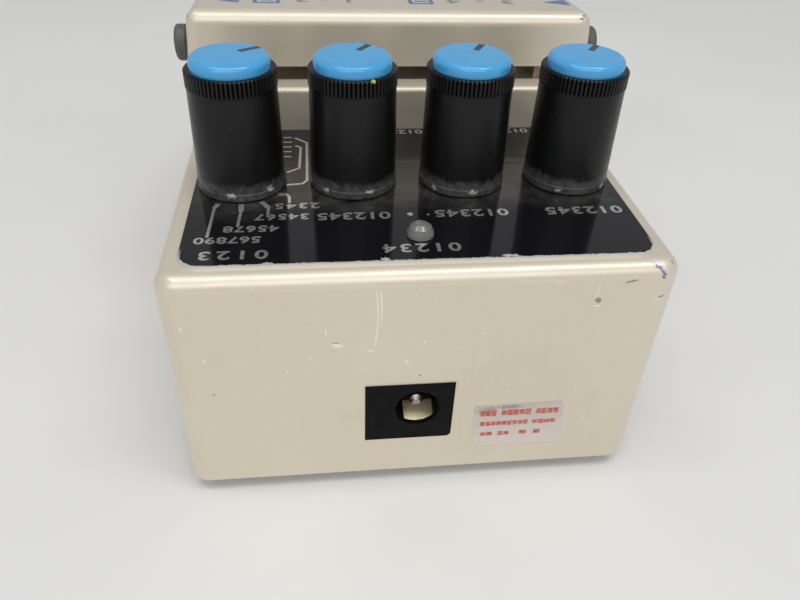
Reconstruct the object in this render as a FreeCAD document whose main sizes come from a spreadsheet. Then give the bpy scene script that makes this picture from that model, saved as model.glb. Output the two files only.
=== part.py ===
import FreeCAD, Part
import math
import os
import Sketcher
from FreeCAD import Placement, Rotation, Vector

# A compact effects pedal. Millimetres, +Z up, -Y is the side with the power socket,
# +Y is the toe of the treadle. The origin is under the middle of the bounding box.
# Places along the pedal are measured from the rear face of the casing.

DIMENSIONS = [
    # name, value, meaning
    ("total_length", 132.7, "rear face to the face of the backed-out thumbscrew"),
    ("casing_width", 70.0, "outer width of the casing and of the treadle"),
    ("bush_span", 74.2, "across the heads of the hinge bushes"),
    ("wall", 2.5, "wall of the die-cast casing"),
    ("lip_height", 2.5, "underside of the casing above the floor"),
    ("deck_height", 40.2, "control deck above the floor"),
    ("rear_lean", 0.5, "draft of the rear face over its height"),
    ("crest_place", 44.4, "rear face of the crest behind the deck"),
    ("crest_thick", 4.4, "flat top of the crest"),
    ("crest_height", 47.75, "top of the crest"),
    ("crest_round", 0.8, "rounding of the crest's long edges"),
    ("crest_end_round", 2.0, "rounding of the crest's ends"),
    ("crest_foot_place", 53.5, "foot of the crest's falling back"),
    ("trough_height", 45.4, "floor of the trough under the hinge"),
    ("fall_place", 63.0, "where the casing starts to fall towards the toe"),
    ("fall_round", 1.2, "rounding of the falling top's side edges"),
    ("front_place", 116.5, "top of the front wall"),
    ("front_height", 22.2, "height of the front wall's top"),
    ("foot_place", 118.5, "foot of the front wall"),
    ("bulkhead_place", 80.0, "rear face of the wall behind the battery"),
    ("corner_radius", 3.0, "upright corners of the casing"),
    ("edge_radius", 2.2, "edges of the deck"),
    ("post_radius", 3.6, "radius of a post for a base screw"),
    ("thread_radius", 1.3, "radius of a base screw's hole"),
    ("thread_deep", 8.0, "depth of a base screw's hole"),
    ("hinge_place", 54.5, "hinge axis from the rear face"),
    ("hinge_height", 52.2, "hinge axis above the floor"),
    ("hinge_radius", 1.5, "radius of the steel hinge shaft"),
    ("running_gap", 0.05, "radial clearance of a turning fit"),
    ("lug_radius", 2.8, "eye of a hinge lug"),
    ("lug_inner", 27.5, "inner face of a hinge lug from the middle"),
    ("lug_thick", 4.0, "thickness of a hinge lug"),
    ("bush_radius", 2.3, "radius of a hinge bush in its skirt"),
    ("bush_head_radius", 3.0, "radius of a hinge bush's head"),
    ("bush_head_round", 0.7, "rounding of that head"),
    ("shaft_end_gap", 0.4, "shaft's end inside the casing's width"),
    ("lug_leg_rear", 56.3, "rear face of a lug's leg"),
    ("lug_leg_front", 61.0, "front face of a lug's leg"),
    ("treadle_rear", 48.7, "rear face of the treadle"),
    ("treadle_height", 59.0, "top of the treadle's shoulder"),
    ("treadle_lip", 50.0, "lower edge of the rear lip and of the skirts"),
    ("treadle_wall", 3.0, "wall of the treadle"),
    ("treadle_draft", 0.8, "how far a side of the treadle leans in towards its top"),
    ("treadle_round", 2.2, "rounding of the treadle's top edges"),
    ("rear_corner", 2.0, "rounding of the treadle's rear corners"),
    ("shoulder_end", 67.0, "where the shoulder meets the slope"),
    ("shoulder_drop", 1.0, "fall of the shoulder over its length"),
    ("shoulder_round", 12.0, "bend between the shoulder and the slope"),
    ("toe_place", 121.8, "where the slope meets the front lip"),
    ("toe_height", 32.4, "height of that corner"),
    ("toe_foot_place", 125.0, "foot of the front lip"),
    ("toe_foot_height", 9.0, "lower edge of the front lip"),
    ("toe_radius", 5.0, "rounding of the toe"),
    ("skirt_break", 118.2, "where the skirt turns down to the lip"),
    ("skirt_return", 121.4, "rear edge of the lip's side return"),
    ("tread_half_width", 29.5, "half the width of the rubber tread"),
    ("tread_rear", 5.0, "rear edge of the tread down the slope"),
    ("tread_front", 53.0, "front edge of the tread down the slope"),
    ("tread_corner", 3.0, "corner radius of the tread"),
    ("tread_sink", 1.0, "how deep the tread sits in the treadle"),
    ("tread_thick", 2.2, "thickness of the tread"),
    ("tread_edge", 0.5, "bevel of the tread's top edge"),
    ("tread_grooves", 11, "grooves across the tread"),
    ("groove_wide", 1.2, "width of a groove"),
    ("groove_deep", 0.6, "depth of a groove"),
    ("groove_margin", 3.0, "end of a groove from the tread's side"),
    ("groove_first", 3.4, "first groove from the tread's front edge"),
    ("knob_row", 25.1, "row of the knobs"),
    ("knob_inner", 8.35, "inner knobs from the middle"),
    ("knob_outer", 25.0, "outer knobs from the middle"),
    ("knob_lift", 0.6, "underside of a knob above the deck"),
    ("mode_turn", 37.0, "pointer of the selector, from +X towards +Y"),
    ("time_turn", 58.0, "pointer of the time knob"),
    ("feedback_turn", 62.0, "pointer of the feedback knob"),
    ("level_turn", 56.0, "pointer of the level knob"),
    ("knob_base_radius", 6.52, "radius of a knob's rim at its base"),
    ("knob_rim", 1.2, "height of that rim"),
    ("knob_wall", 1.2, "wall of a knob's skirt"),
    ("knob_hollow", 5.4, "depth of the hollow under a knob"),
    ("knob_neck_radius", 6.18, "radius of a knob under its ring"),
    ("ring_radius", 6.28, "radius of the knurled ring"),
    ("ring_top", 58.3, "top of the knurled ring"),
    ("ring_tall", 2.3, "height of the knurled ring"),
    ("ring_teeth", 66, "grooves of the knurl"),
    ("tooth_deep", 0.28, "depth of a groove of a knurl"),
    ("tooth_half_wide", 0.16, "half the width of that groove"),
    ("cap_radius", 5.51, "radius of a knob's cap"),
    ("cap_top", 60.05, "top of a cap"),
    ("cap_dome", 0.12, "rise of a cap's top towards its middle"),
    ("cap_round", 0.9, "rounding of a cap's edge"),
    ("pointer_start", 1.7, "inner end of a pointer from the knob's axis"),
    ("pointer_half_wide", 0.45, "half the width of a pointer"),
    ("pointer_deep", 0.3, "depth of a pointer"),
    ("cap_sink", 1.2, "how deep a cap sits in its knob"),
    ("shaft_radius", 3.0, "radius of a control's shaft"),
    ("shaft_top", 54.0, "top of a control's shaft"),
    ("bushing_radius", 3.5, "radius of a control's threaded bushing"),
    ("bushing_top", 44.4, "top of a control's bushing"),
    ("pot_tall", 4.4, "height of a control's housing"),
    ("pot_side", 9.8, "width of a potentiometer"),
    ("pot_floor", 0.6, "floor of a control's housing under its shaft"),
    ("nut_radius", 5.0, "a control's nut over its corners"),
    ("nut_tall", 2.0, "height of that nut"),
    ("control_clearance", 0.1, "gap round a control's bushing"),
    ("switch_side", 12.0, "width of the rotary switch"),
    ("plate_thick", 0.4, "thickness of the name plate"),
    ("plate_half_width", 32.0, "half the width of the name plate"),
    ("plate_rear", 3.0, "rear edge of the name plate"),
    ("plate_front", 44.0, "front edge of the name plate"),
    ("plate_round", 3.0, "corner radius of the name plate"),
    ("lamp_place", 9.5, "indicator lamp from the rear face"),
    ("lamp_radius", 1.9, "radius of the lamp"),
    ("lamp_flange", 0.5, "flange of the lamp beyond its radius"),
    ("lamp_flange_tall", 1.0, "height of that flange"),
    ("lamp_leg_across", 1.27, "a leg of the lamp from its axis"),
    ("lamp_leg_half", 0.25, "half the side of a leg"),
    ("lamp_top", 42.4, "top of the lamp"),
    ("socket_left", -8.1, "left side of the power socket"),
    ("socket_right", 5.1, "right side of the power socket"),
    ("socket_low", 9.6, "bottom of the power socket"),
    ("socket_high", 20.9, "top of the power socket"),
    ("socket_clip", 0.5, "clipped lower corner of the power socket"),
    ("socket_deep", 14.0, "depth of the power socket"),
    ("socket_recess", 0.1, "its face behind the foot of the rear face"),
    ("socket_hole_place", -0.3, "middle of the socket's hole across"),
    ("socket_hole_height", 16.0, "middle of the socket's hole above the floor"),
    ("socket_hole_radius", 3.35, "radius of the socket's hole"),
    ("socket_hole_deep", 10.5, "depth of the socket's hole"),
    ("pin_radius", 1.05, "radius of the socket's centre pin"),
    ("pin_setback", 1.35, "tip of the pin behind the socket's face"),
    ("pin_bevel", 0.5, "bevel of the pin's tip"),
    ("leaf_shift", 0.5, "middle of the contact leaf from the hole's middle"),
    ("leaf_half_wide", 2.25, "half the width of the contact leaf"),
    ("leaf_thick", 0.25, "thickness of the contact leaf"),
    ("leaf_sink", 1.0, "floor of the leaf's slot under the hole"),
    ("leaf_slot_start", 0.8, "start of the leaf's slot behind the socket's face"),
    ("jack_rear", 34.0, "rear audio jacks from the rear face"),
    ("jack_front", 52.5, "front audio jacks from the rear face"),
    ("jack_height", 28.0, "axis of the audio jacks"),
    ("jack_snout", 5.3, "outer radius of a jack's snout"),
    ("jack_bore", 3.25, "bore for a 6.35 mm plug"),
    ("jack_reach", 36.5, "mouth of a jack from the middle"),
    ("jack_inner", 6.5, "inner end of a jack from the middle"),
    ("jack_half_width", 7.0, "half the width of a jack's housing"),
    ("jack_half_tall", 5.2, "half the height of a jack's housing"),
    ("jack_back_wall", 1.2, "wall behind a jack's bore"),
    ("contact_thick", 0.4, "thickness of a jack's contact"),
    ("contact_half_wide", 1.2, "half the width of a jack's contact"),
    ("contact_gap", 0.3, "gap between a jack's bore and a contact"),
    ("window_half_wide", 1.6, "half the width of a contact's window"),
    ("window_deep", 4.0, "depth of a contact's window"),
    ("window_sink", 0.5, "how far a window reaches into the bore"),
    ("tip_contact_start", 2.5, "tip contact from the jack's inner end"),
    ("tip_contact_end", 16.0, "outer end of the tip contact"),
    ("sleeve_contact_start", 17.0, "sleeve contact from the jack's inner end"),
    ("sleeve_contact_end", 24.5, "outer end of the sleeve contact"),
    ("board_thick", 1.6, "thickness of a circuit board"),
    ("board_margin", 0.5, "gap between a board and the casing's wall"),
    ("board_front_gap", 1.0, "gap between a board and the wall behind the battery"),
    ("notch_across", 4.2, "main board's notch inside a base screw's axis"),
    ("notch_front", 4.5, "main board's notch in front of that axis"),
    ("main_board_low", 8.0, "underside of the main board"),
    ("control_board_low", 31.4, "underside of the control board"),
    ("control_board_half", 23.8, "half the width of the control board"),
    ("control_board_rear", 4.0, "rear edge of the control board"),
    ("control_board_front", 26.3, "front edge of the control board"),
    ("can_radius", 2.5, "radius of a capacitor's can"),
    ("can_tall", 7.0, "height of a capacitor's can"),
    ("header_left", -12.0, "left end of the header between the boards"),
    ("header_right", 8.0, "right end of that header"),
    ("header_rear", 66.0, "rear face of that header"),
    ("header_front", 68.6, "front face of that header"),
    ("film_thick", 0.3, "thickness of the insulating sheet"),
    ("film_margin", 0.3, "gap between the sheet and the casing's walls"),
    ("spacer_radius", 2.2, "radius of a spacer under the main board"),
    ("spacer_across", 20.0, "spacers from the middle"),
    ("spacer_rear", 8.0, "rear spacers from the rear face"),
    ("spacer_front", 74.0, "front spacers from the rear face"),
    ("spring_place", 74.0, "treadle spring and plunger from the rear face"),
    ("spring_floor", 28.0, "floor of the spring's cup"),
    ("spring_mean_radius", 5.1, "mean radius of the spring"),
    ("spring_wire", 0.55, "radius of the spring's wire"),
    ("spring_turns", 7, "turns of the spring"),
    ("spring_seat", 49.4, "seat of the spring under the treadle"),
    ("cup_radius", 6.7, "inner radius of the spring's cup"),
    ("cup_wall", 1.6, "wall of the spring's cup"),
    ("spring_ring_wall", 1.4, "ring over the spring beyond its mean radius"),
    ("spigot_long", 3.5, "length of the spigot inside the spring"),
    ("pusher_radius", 3.4, "radius of the treadle's pusher over the plunger"),
    ("pusher_gap", 0.1, "gap between the pusher and the plunger"),
    ("plunger_across", -17.0, "plunger from the middle"),
    ("plunger_radius", 3.0, "radius of the plunger"),
    ("plunger_low", 32.0, "foot of the plunger"),
    ("plunger_top", 45.0, "top of the plunger"),
    ("plunger_flange", 0.7, "flange of the plunger's foot beyond its radius"),
    ("plunger_flange_tall", 1.2, "height of that flange"),
    ("guide_wall", 2.0, "wall of the plunger's guide"),
    ("guide_gap", 2.5, "foot of the guide above the plunger's foot"),
    ("switch_half_wide", 4.0, "half the width of the push switch"),
    ("stem_half_wide", 1.3, "half the width of the switch's stem"),
    ("stem_clearance", 0.35, "gap round the switch's stem"),
    ("switch_gap", 2.0, "top of the push switch under the plunger"),
    ("stem_sink", 0.9, "how deep the stem reaches into the switch"),
    ("plunger_travel_room", 2.4, "depth of the switch's well under the stem"),
    ("bay_left", -29.5, "left side of the battery bay"),
    ("bay_right", 27.5, "right side of the battery bay"),
    ("bay_rear", 82.5, "rear side of the battery bay"),
    ("bay_front", 112.0, "front side of the battery bay"),
    ("bay_floor", 4.5, "floor of the battery bay"),
    ("bay_round", 1.5, "upright corners of the battery bay"),
    ("battery_long", 46.4, "length of the battery without its snaps"),
    ("battery_wide", 26.4, "width of the battery"),
    ("battery_tall", 17.4, "thickness of the battery"),
    ("battery_left", -28.4, "closed end of the battery"),
    ("battery_rear", 83.9, "rear side of the battery"),
    ("battery_bevel", 0.4, "bevel of the battery's ends"),
    ("pad_foam", 0.8, "foam under the battery"),
    ("foam_margin", 1.6, "bay beyond the foam, rear and front"),
    ("foam_short", 6.0, "bay beyond the foam on the connector's side"),
    ("battery_round", 2.0, "rounding of the battery's long edges"),
    ("snap_tall", 2.4, "height of the battery's snaps"),
    ("male_snap_radius", 2.9, "radius of the male snap"),
    ("male_snap_place", 6.9, "male snap from the battery's rear side"),
    ("female_snap_radius", 4.1, "radius of the female snap"),
    ("female_snap_place", 19.5, "female snap from the battery's rear side"),
    ("snap_cap_thick", 2.2, "thickness of the snap connector"),
    ("snap_cap_half_tall", 6.2, "half the height of the snap connector"),
    ("snap_cap_margin", 0.7, "battery beyond the connector, rear and front"),
    ("snap_cap_round", 4.0, "corner radius of the snap connector"),
    ("lead_radius", 0.7, "radius of a wire of the battery's lead"),
    ("lead_half_gap", 0.75, "a wire of the lead from the lead's middle"),
    ("lead_exit", 9.0, "lead from the battery's rear side"),
    ("lead_end", 6.5, "end of the lead behind the wall behind the battery"),
    ("lead_height", 25.5, "where the lead crosses that wall, above the floor"),
    ("lead_bend", 2.2, "bend radius of those wires"),
    ("lead_hole_radius", 2.4, "radius of the hole that the lead passes"),
    ("screw_height", 16.5, "axis of the thumbscrew"),
    ("screw_radius", 1.95, "radius of the thumbscrew's shank"),
    ("screw_head_radius", 6.0, "radius of the thumbscrew's head"),
    ("screw_head_long", 4.0, "length of the thumbscrew's head"),
    ("screw_travel", 3.0, "how far the thumbscrew backs out"),
    ("screw_tip", 118.2, "tip of the backed-out thumbscrew"),
    ("screw_teeth", 28, "grooves of the thumbscrew's knurl"),
    ("screw_tooth_deep", 0.45, "depth of such a groove"),
    ("screw_tooth_half_wide", 0.3, "half the width of such a groove"),
    ("screw_edge", 0.5, "bevels of the thumbscrew"),
    ("coin_slot_half_wide", 0.7, "half the width of the thumbscrew's slot"),
    ("coin_slot_deep", 1.4, "depth of that slot"),
    ("washer_radius", 5.0, "radius of the thumbscrew's washer"),
    ("washer_thick", 0.8, "thickness of that washer"),
    ("lip_spotface", 124.9, "flat round the thumbscrew on the lip"),
    ("lip_boss_rear", 120.4, "rear face of the lip's boss round the thumbscrew"),
    ("lip_boss_radius", 6.2, "radius of that boss"),
    ("bush_face", 117.6, "front face of the guide bush"),
    ("slot_low", 11.35, "lower end of the guide bush's slot"),
    ("slot_high", 18.65, "upper end of the guide bush's slot"),
    ("slot_radius", 2.1, "half the width of the guide bush's slot"),
    ("bush_half_wide", 4.2, "half the width of the guide bush"),
    ("bush_margin", 2.0, "guide bush beyond the ends of its slot"),
    ("base_thick", 1.2, "thickness of the base plate"),
    ("base_inset", 1.6, "base plate inside the casing's outline"),
    ("mat_inset", 3.2, "rubber mat inside the casing's outline"),
    ("base_round", 2.0, "corner radius of the base plate and the mat"),
    ("base_hole_radius", 1.6, "screw hole in the base plate"),
    ("mat_hole_radius", 4.4, "screw hole in the mat"),
    ("base_head_radius", 2.8, "head of a base screw"),
    ("base_head_low", 0.3, "underside of that head above the floor"),
    ("base_shank_radius", 1.25, "shank of a base screw"),
    ("foot_screw_across", 29.5, "base screws from the middle"),
    ("foot_screw_rear", 6.5, "rear base screws from the rear face"),
    ("foot_screw_front", 114.6, "front base screws from the rear face"),
]


class Size:
    """A number that remembers the sheet expression it was worked out from."""

    def __init__(self, value, text):
        self.value = float(value)
        self.text = text

    def join(self, other, symbol, result):
        text = other.text if isinstance(other, Size) else repr(float(other))
        return Size(result, f"({self.text} {symbol} {text})")

    def __add__(self, other):
        return self.join(other, "+", self.value + float(other))

    def __sub__(self, other):
        return self.join(other, "-", self.value - float(other))

    def __mul__(self, other):
        return self.join(other, "*", self.value * float(other))

    def __truediv__(self, other):
        return self.join(other, "/", self.value / float(other))

    def __rsub__(self, other):
        return Size(float(other), repr(float(other))) - self

    def __neg__(self):
        return 0.0 - self

    def __float__(self):
        return self.value


class Sizes:
    """The driving dimensions, one attribute for each cell of the sheet."""


doc = FreeCAD.newDocument("effects_pedal")
sheet = doc.addObject("Spreadsheet::Sheet", "Sizes")
d = Sizes()
for row, (name, number, meaning) in enumerate(DIMENSIONS, start=1):
    sheet.set(f"A{row}", meaning)
    sheet.set(f"B{row}", str(number))
    sheet.setAlias(f"B{row}", name)
    setattr(d, name, Size(number, f"Sizes.{name}"))
doc.recompute()

REAR = -d.total_length / 2

# How far a cut starts or ends outside the solid.
BEYOND = 1.0


def along(place):
    """The row's Y of a place measured from the rear face."""
    return REAR + place


def bind(obj, prop, size):
    """Set a property and tie it to the sheet."""
    if isinstance(size, Size):
        obj.setExpression(prop, size.text)


def set_size(obj, prop, size):
    """Give a property its number, and its expression where it has one."""
    setattr(obj, prop, float(size))
    bind(obj, prop, size)


def new_body(name, place=None, turn=0.0):
    """A body whose label names its file, moved to place and turned about +Z."""
    body = doc.addObject("PartDesign::Body", name)
    body.Label = name
    if place:
        move(body, place, Rotation(Vector(0, 0, 1), float(turn)))
        bind(body, ".Placement.Rotation.Angle", turn)
    return body


def move(obj, place, rotation=Rotation()):
    """Put an object at a place that is tied to the sheet."""
    obj.Placement = Placement(Vector(*[float(c) for c in place]), rotation)
    for axis, coordinate in zip("xyz", place):
        bind(obj, f".Placement.Base.{axis}", coordinate)


def origin_part(body, role):
    """The body's own origin plane or axis of that role."""
    return next(f for f in body.Origin.OriginFeatures if f.Role == role)


def new_sketch(body, plane, offset=0.0):
    """A sketch on an origin plane, offset along the plane's normal."""
    sketch = body.newObject("Sketcher::SketchObject", f"{body.Name}_sketch")
    sketch.AttachmentSupport = [(origin_part(body, plane), "")]
    sketch.MapMode = "FlatFace"
    sketch.AttachmentOffset = Placement(Vector(0, 0, float(offset)), Rotation())
    bind(sketch, ".AttachmentOffset.Base.z", offset)
    return sketch


def constrain(sketch, kind, arguments, size):
    """Add a dimension and tie it to the sheet."""
    index = sketch.addConstraint(Sketcher.Constraint(kind, *arguments, float(size)))
    bind(sketch, f"Constraints[{index}]", size)


def pin_point(sketch, geometry, point, u, v):
    """Fix a point of the sketch at u, v from the sketch's origin."""
    constrain(sketch, "DistanceX", (-1, 1, geometry, point), u)
    constrain(sketch, "DistanceY", (-1, 1, geometry, point), v)


def draw_polygon(sketch, points):
    """A closed outline of straight lines through the points."""
    corners = [Vector(float(u), float(v), 0) for u, v in points]
    lines = [
        sketch.addGeometry(Part.LineSegment(corners[i], corners[(i + 1) % len(corners)]))
        for i in range(len(corners))
    ]
    for i, line in enumerate(lines):
        after = lines[(i + 1) % len(lines)]
        sketch.addConstraint(Sketcher.Constraint("Coincident", line, 2, after, 1))
    for line, (u, v) in zip(lines, points):
        pin_point(sketch, line, 1, u, v)


def draw_rectangle(sketch, u0, v0, u1, v1):
    draw_polygon(sketch, [(u0, v0), (u1, v0), (u1, v1), (u0, v1)])


def draw_circle(sketch, u, v, radius):
    centre = Vector(float(u), float(v), 0)
    circle = sketch.addGeometry(Part.Circle(centre, Vector(0, 0, 1), float(radius)))
    pin_point(sketch, circle, 3, u, v)
    constrain(sketch, "Radius", (circle,), radius)


def draw_rounded(sketch, u0, v0, u1, v1, radius):
    """A rectangle with round corners, each arc tangent to its two sides."""
    r = float(radius)
    centres = [
        (u1 - radius, v1 - radius, 0),
        (u0 + radius, v1 - radius, 90),
        (u0 + radius, v0 + radius, 180),
        (u1 - radius, v0 + radius, 270),
    ]
    arcs = []
    for u, v, start in centres:
        circle = Part.Circle(Vector(float(u), float(v), 0), Vector(0, 0, 1), r)
        first, last = math.radians(start), math.radians(start + 90)
        arcs.append(sketch.addGeometry(Part.ArcOfCircle(circle, first, last)))
    for i, arc in enumerate(arcs):
        after = arcs[(i + 1) % 4]
        ends = [sketch.getPoint(arc, 2), sketch.getPoint(after, 1)]
        line = sketch.addGeometry(Part.LineSegment(*ends))
        sketch.addConstraint(Sketcher.Constraint("Tangent", arc, 2, line, 1))
        sketch.addConstraint(Sketcher.Constraint("Tangent", line, 2, after, 1))
    for arc, (u, v, start) in zip(arcs, centres):
        pin_point(sketch, arc, 3, u, v)
        constrain(sketch, "Radius", (arc,), radius)


def pad(body, sketch, length, both=False, back=False):
    """Raise a sketch into a solid: along its normal, both ways, or backwards."""
    feature = body.newObject("PartDesign::Pad", f"{body.Name}_pad")
    feature.Profile = sketch
    set_size(feature, "Length", length)
    feature.SideType = "Symmetric" if both else "One side"
    feature.Reversed = back
    return feature


def pocket(body, sketch, length=None, both=False, back=False):
    """Cut a sketch away against its normal, both ways, or along its normal (back)."""
    feature = body.newObject("PartDesign::Pocket", f"{body.Name}_pocket")
    feature.Profile = sketch
    if length is None:
        feature.Type = "ThroughAll"
    else:
        set_size(feature, "Length", length)
    feature.SideType = "Symmetric" if both else "One side"
    feature.Reversed = back
    return feature


def revolve(body, sketch, axis="Z_Axis"):
    """Turn a sketch a full turn about one of the body's axes."""
    feature = body.newObject("PartDesign::Revolution", f"{body.Name}_turn")
    feature.Profile = sketch
    feature.ReferenceAxis = (origin_part(body, axis), [""])
    feature.Angle = 360.0
    return feature


def edges_at(feature, test):
    """Names of the feature's edges whose middle and direction pass the test."""
    doc.recompute()
    names = []
    for number, edge in enumerate(feature.Shape.Edges, start=1):
        first, last = edge.FirstParameter, edge.LastParameter
        middle = edge.valueAt((first + last) / 2)
        way = (edge.valueAt(last) - edge.valueAt(first))
        if way.Length > 1e-6:
            way.normalize()
        if test(middle, way):
            names.append(f"Edge{number}")
    return names


def fillet(body, base, radius, test):
    """Round the edges of base that pass the test."""
    names = edges_at(base, test)
    if not names:
        raise RuntimeError(f"{body.Name}: no edge to round")
    feature = body.newObject("PartDesign::Fillet", f"{body.Name}_fillet")
    feature.Base = (base, names)
    set_size(feature, "Radius", radius)
    doc.recompute()
    return feature


def chamfer(body, base, size, test):
    """Bevel the edges of base that pass the test."""
    names = edges_at(base, test)
    if not names:
        raise RuntimeError(f"{body.Name}: no edge to bevel")
    feature = body.newObject("PartDesign::Chamfer", f"{body.Name}_chamfer")
    feature.Base = (base, names)
    set_size(feature, "Size", size)
    doc.recompute()
    return feature


def mirrored(body, originals, plane="YZ_Plane"):
    """Repeat features on the other side of an origin plane."""
    feature = body.newObject("PartDesign::Mirrored", f"{body.Name}_mirror")
    feature.Originals = originals
    feature.MirrorPlane = (origin_part(body, plane), [""])
    body.Tip = feature
    return feature


def near(a, b, gap=0.05):
    return abs(float(a) - float(b)) < gap


def block(name, low, high):
    """A plain box from its low corner to its high corner, as a part of its own."""
    box = doc.addObject("Part::Box", name)
    for prop, a, b in zip(("Length", "Width", "Height"), low, high):
        set_size(box, prop, b - a)
    move(box, low)
    return box


def rod(name, radius, low, length, way=Vector(0, 0, 1)):
    """A plain cylinder that starts at low and runs along way."""
    cylinder = doc.addObject("Part::Cylinder", name)
    set_size(cylinder, "Radius", radius)
    set_size(cylinder, "Height", length)
    move(cylinder, low, Rotation(Vector(0, 0, 1), way))
    return cylinder


def boolean(kind, name, base, tool):
    """Part::Cut, Part::Fuse or Part::Common of two parts."""
    feature = doc.addObject(f"Part::{kind}", name)
    feature.Base = base
    feature.Tool = tool
    return feature


def group(name, members):
    """Separate solids that share one node, such as a set of screws."""
    compound = doc.addObject("Part::Compound", name)
    compound.Label = name
    compound.Links = members
    return compound


NODES = []


def node(obj, name=None):
    """Enter an object in the list of sub-parts."""
    if name:
        obj.Label = name
    NODES.append(obj)
    return obj


# The battery's lead leaves the middle of the snap connector's thickness.
LEAD_ACROSS = d.battery_left + d.battery_long + d.snap_tall + d.snap_cap_thick / 2

KNOB_PLACES = {
    "mode": -d.knob_outer,
    "time": -d.knob_inner,
    "feedback": d.knob_inner,
    "level": d.knob_outer,
}

# What stands on the main board, from the middle and from the rear face of the casing.
BOARD_CHIPS = [
    # name, left, right, rear, front, thickness
    ("processor", -6.0, 8.0, 30.0, 44.0, 1.6),
    ("memory", -24.0, -13.0, 30.0, 48.0, 1.4),
    ("converter", 14.0, 24.0, 28.0, 36.0, 1.4),
    ("amplifier", 14.0, 20.0, 42.0, 50.0, 1.4),
]
CAN_PLACES = [(-22.0, 16.0), (-15.0, 16.0), (14.0, 18.0), (22.0, 18.0), (0.0, 56.0)]

# The slopes that the casing and the treadle share.
CASING_FALL = (d.trough_height - d.front_height) / (d.front_place - d.fall_place)
SHOULDER_HEIGHT = d.treadle_height - d.shoulder_drop
TREADLE_FALL = (SHOULDER_HEIGHT - d.toe_height) / (d.toe_place - d.shoulder_end)
SLOPE_ANGLE = math.atan(float(TREADLE_FALL))
SLOPE_TURN = Size(-math.degrees(SLOPE_ANGLE), f"(0 - atan({TREADLE_FALL.text}))")


def tilt(obj, prop, place, lift=0.0):
    """Lay a sketch or body on the treadle's slope, with its own -Y down the slope."""
    spot = [
        0.0,
        along(place) + lift * math.sin(SLOPE_ANGLE),
        treadle_top(place) + lift * math.cos(SLOPE_ANGLE),
    ]
    turned = Rotation(Vector(1, 0, 0), float(SLOPE_TURN))
    turned = turned * Rotation(Vector(0, 0, 1), 180)
    placed = Placement(Vector(*[float(c) for c in spot]), turned)
    setattr(obj, prop.strip("."), placed)
    for axis, coordinate in zip("xyz", spot):
        bind(obj, f"{prop}.Base.{axis}", coordinate)


def casing_top(place):
    """Height of the casing's falling top at a place from the rear face."""
    return d.trough_height - CASING_FALL * (place - d.fall_place)


def treadle_top(place):
    """Height of the treadle's slope at a place from the rear face."""
    return SHOULDER_HEIGHT - TREADLE_FALL * (place - d.shoulder_end)


def socket_outline():
    """Outline of the power socket's face, with its clipped lower corner."""
    return [
        (d.socket_left, d.socket_low),
        (d.socket_right - d.socket_clip, d.socket_low),
        (d.socket_right, d.socket_low + d.socket_clip),
        (d.socket_right, d.socket_high),
        (d.socket_left, d.socket_high),
    ]


def guide_bush_outline():
    """Corners and corner radius of the guide bush's outline."""
    low, high = d.slot_low - d.bush_margin, d.slot_high + d.bush_margin
    return -d.bush_half_wide, low, d.bush_half_wide, high, d.bush_margin


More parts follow.
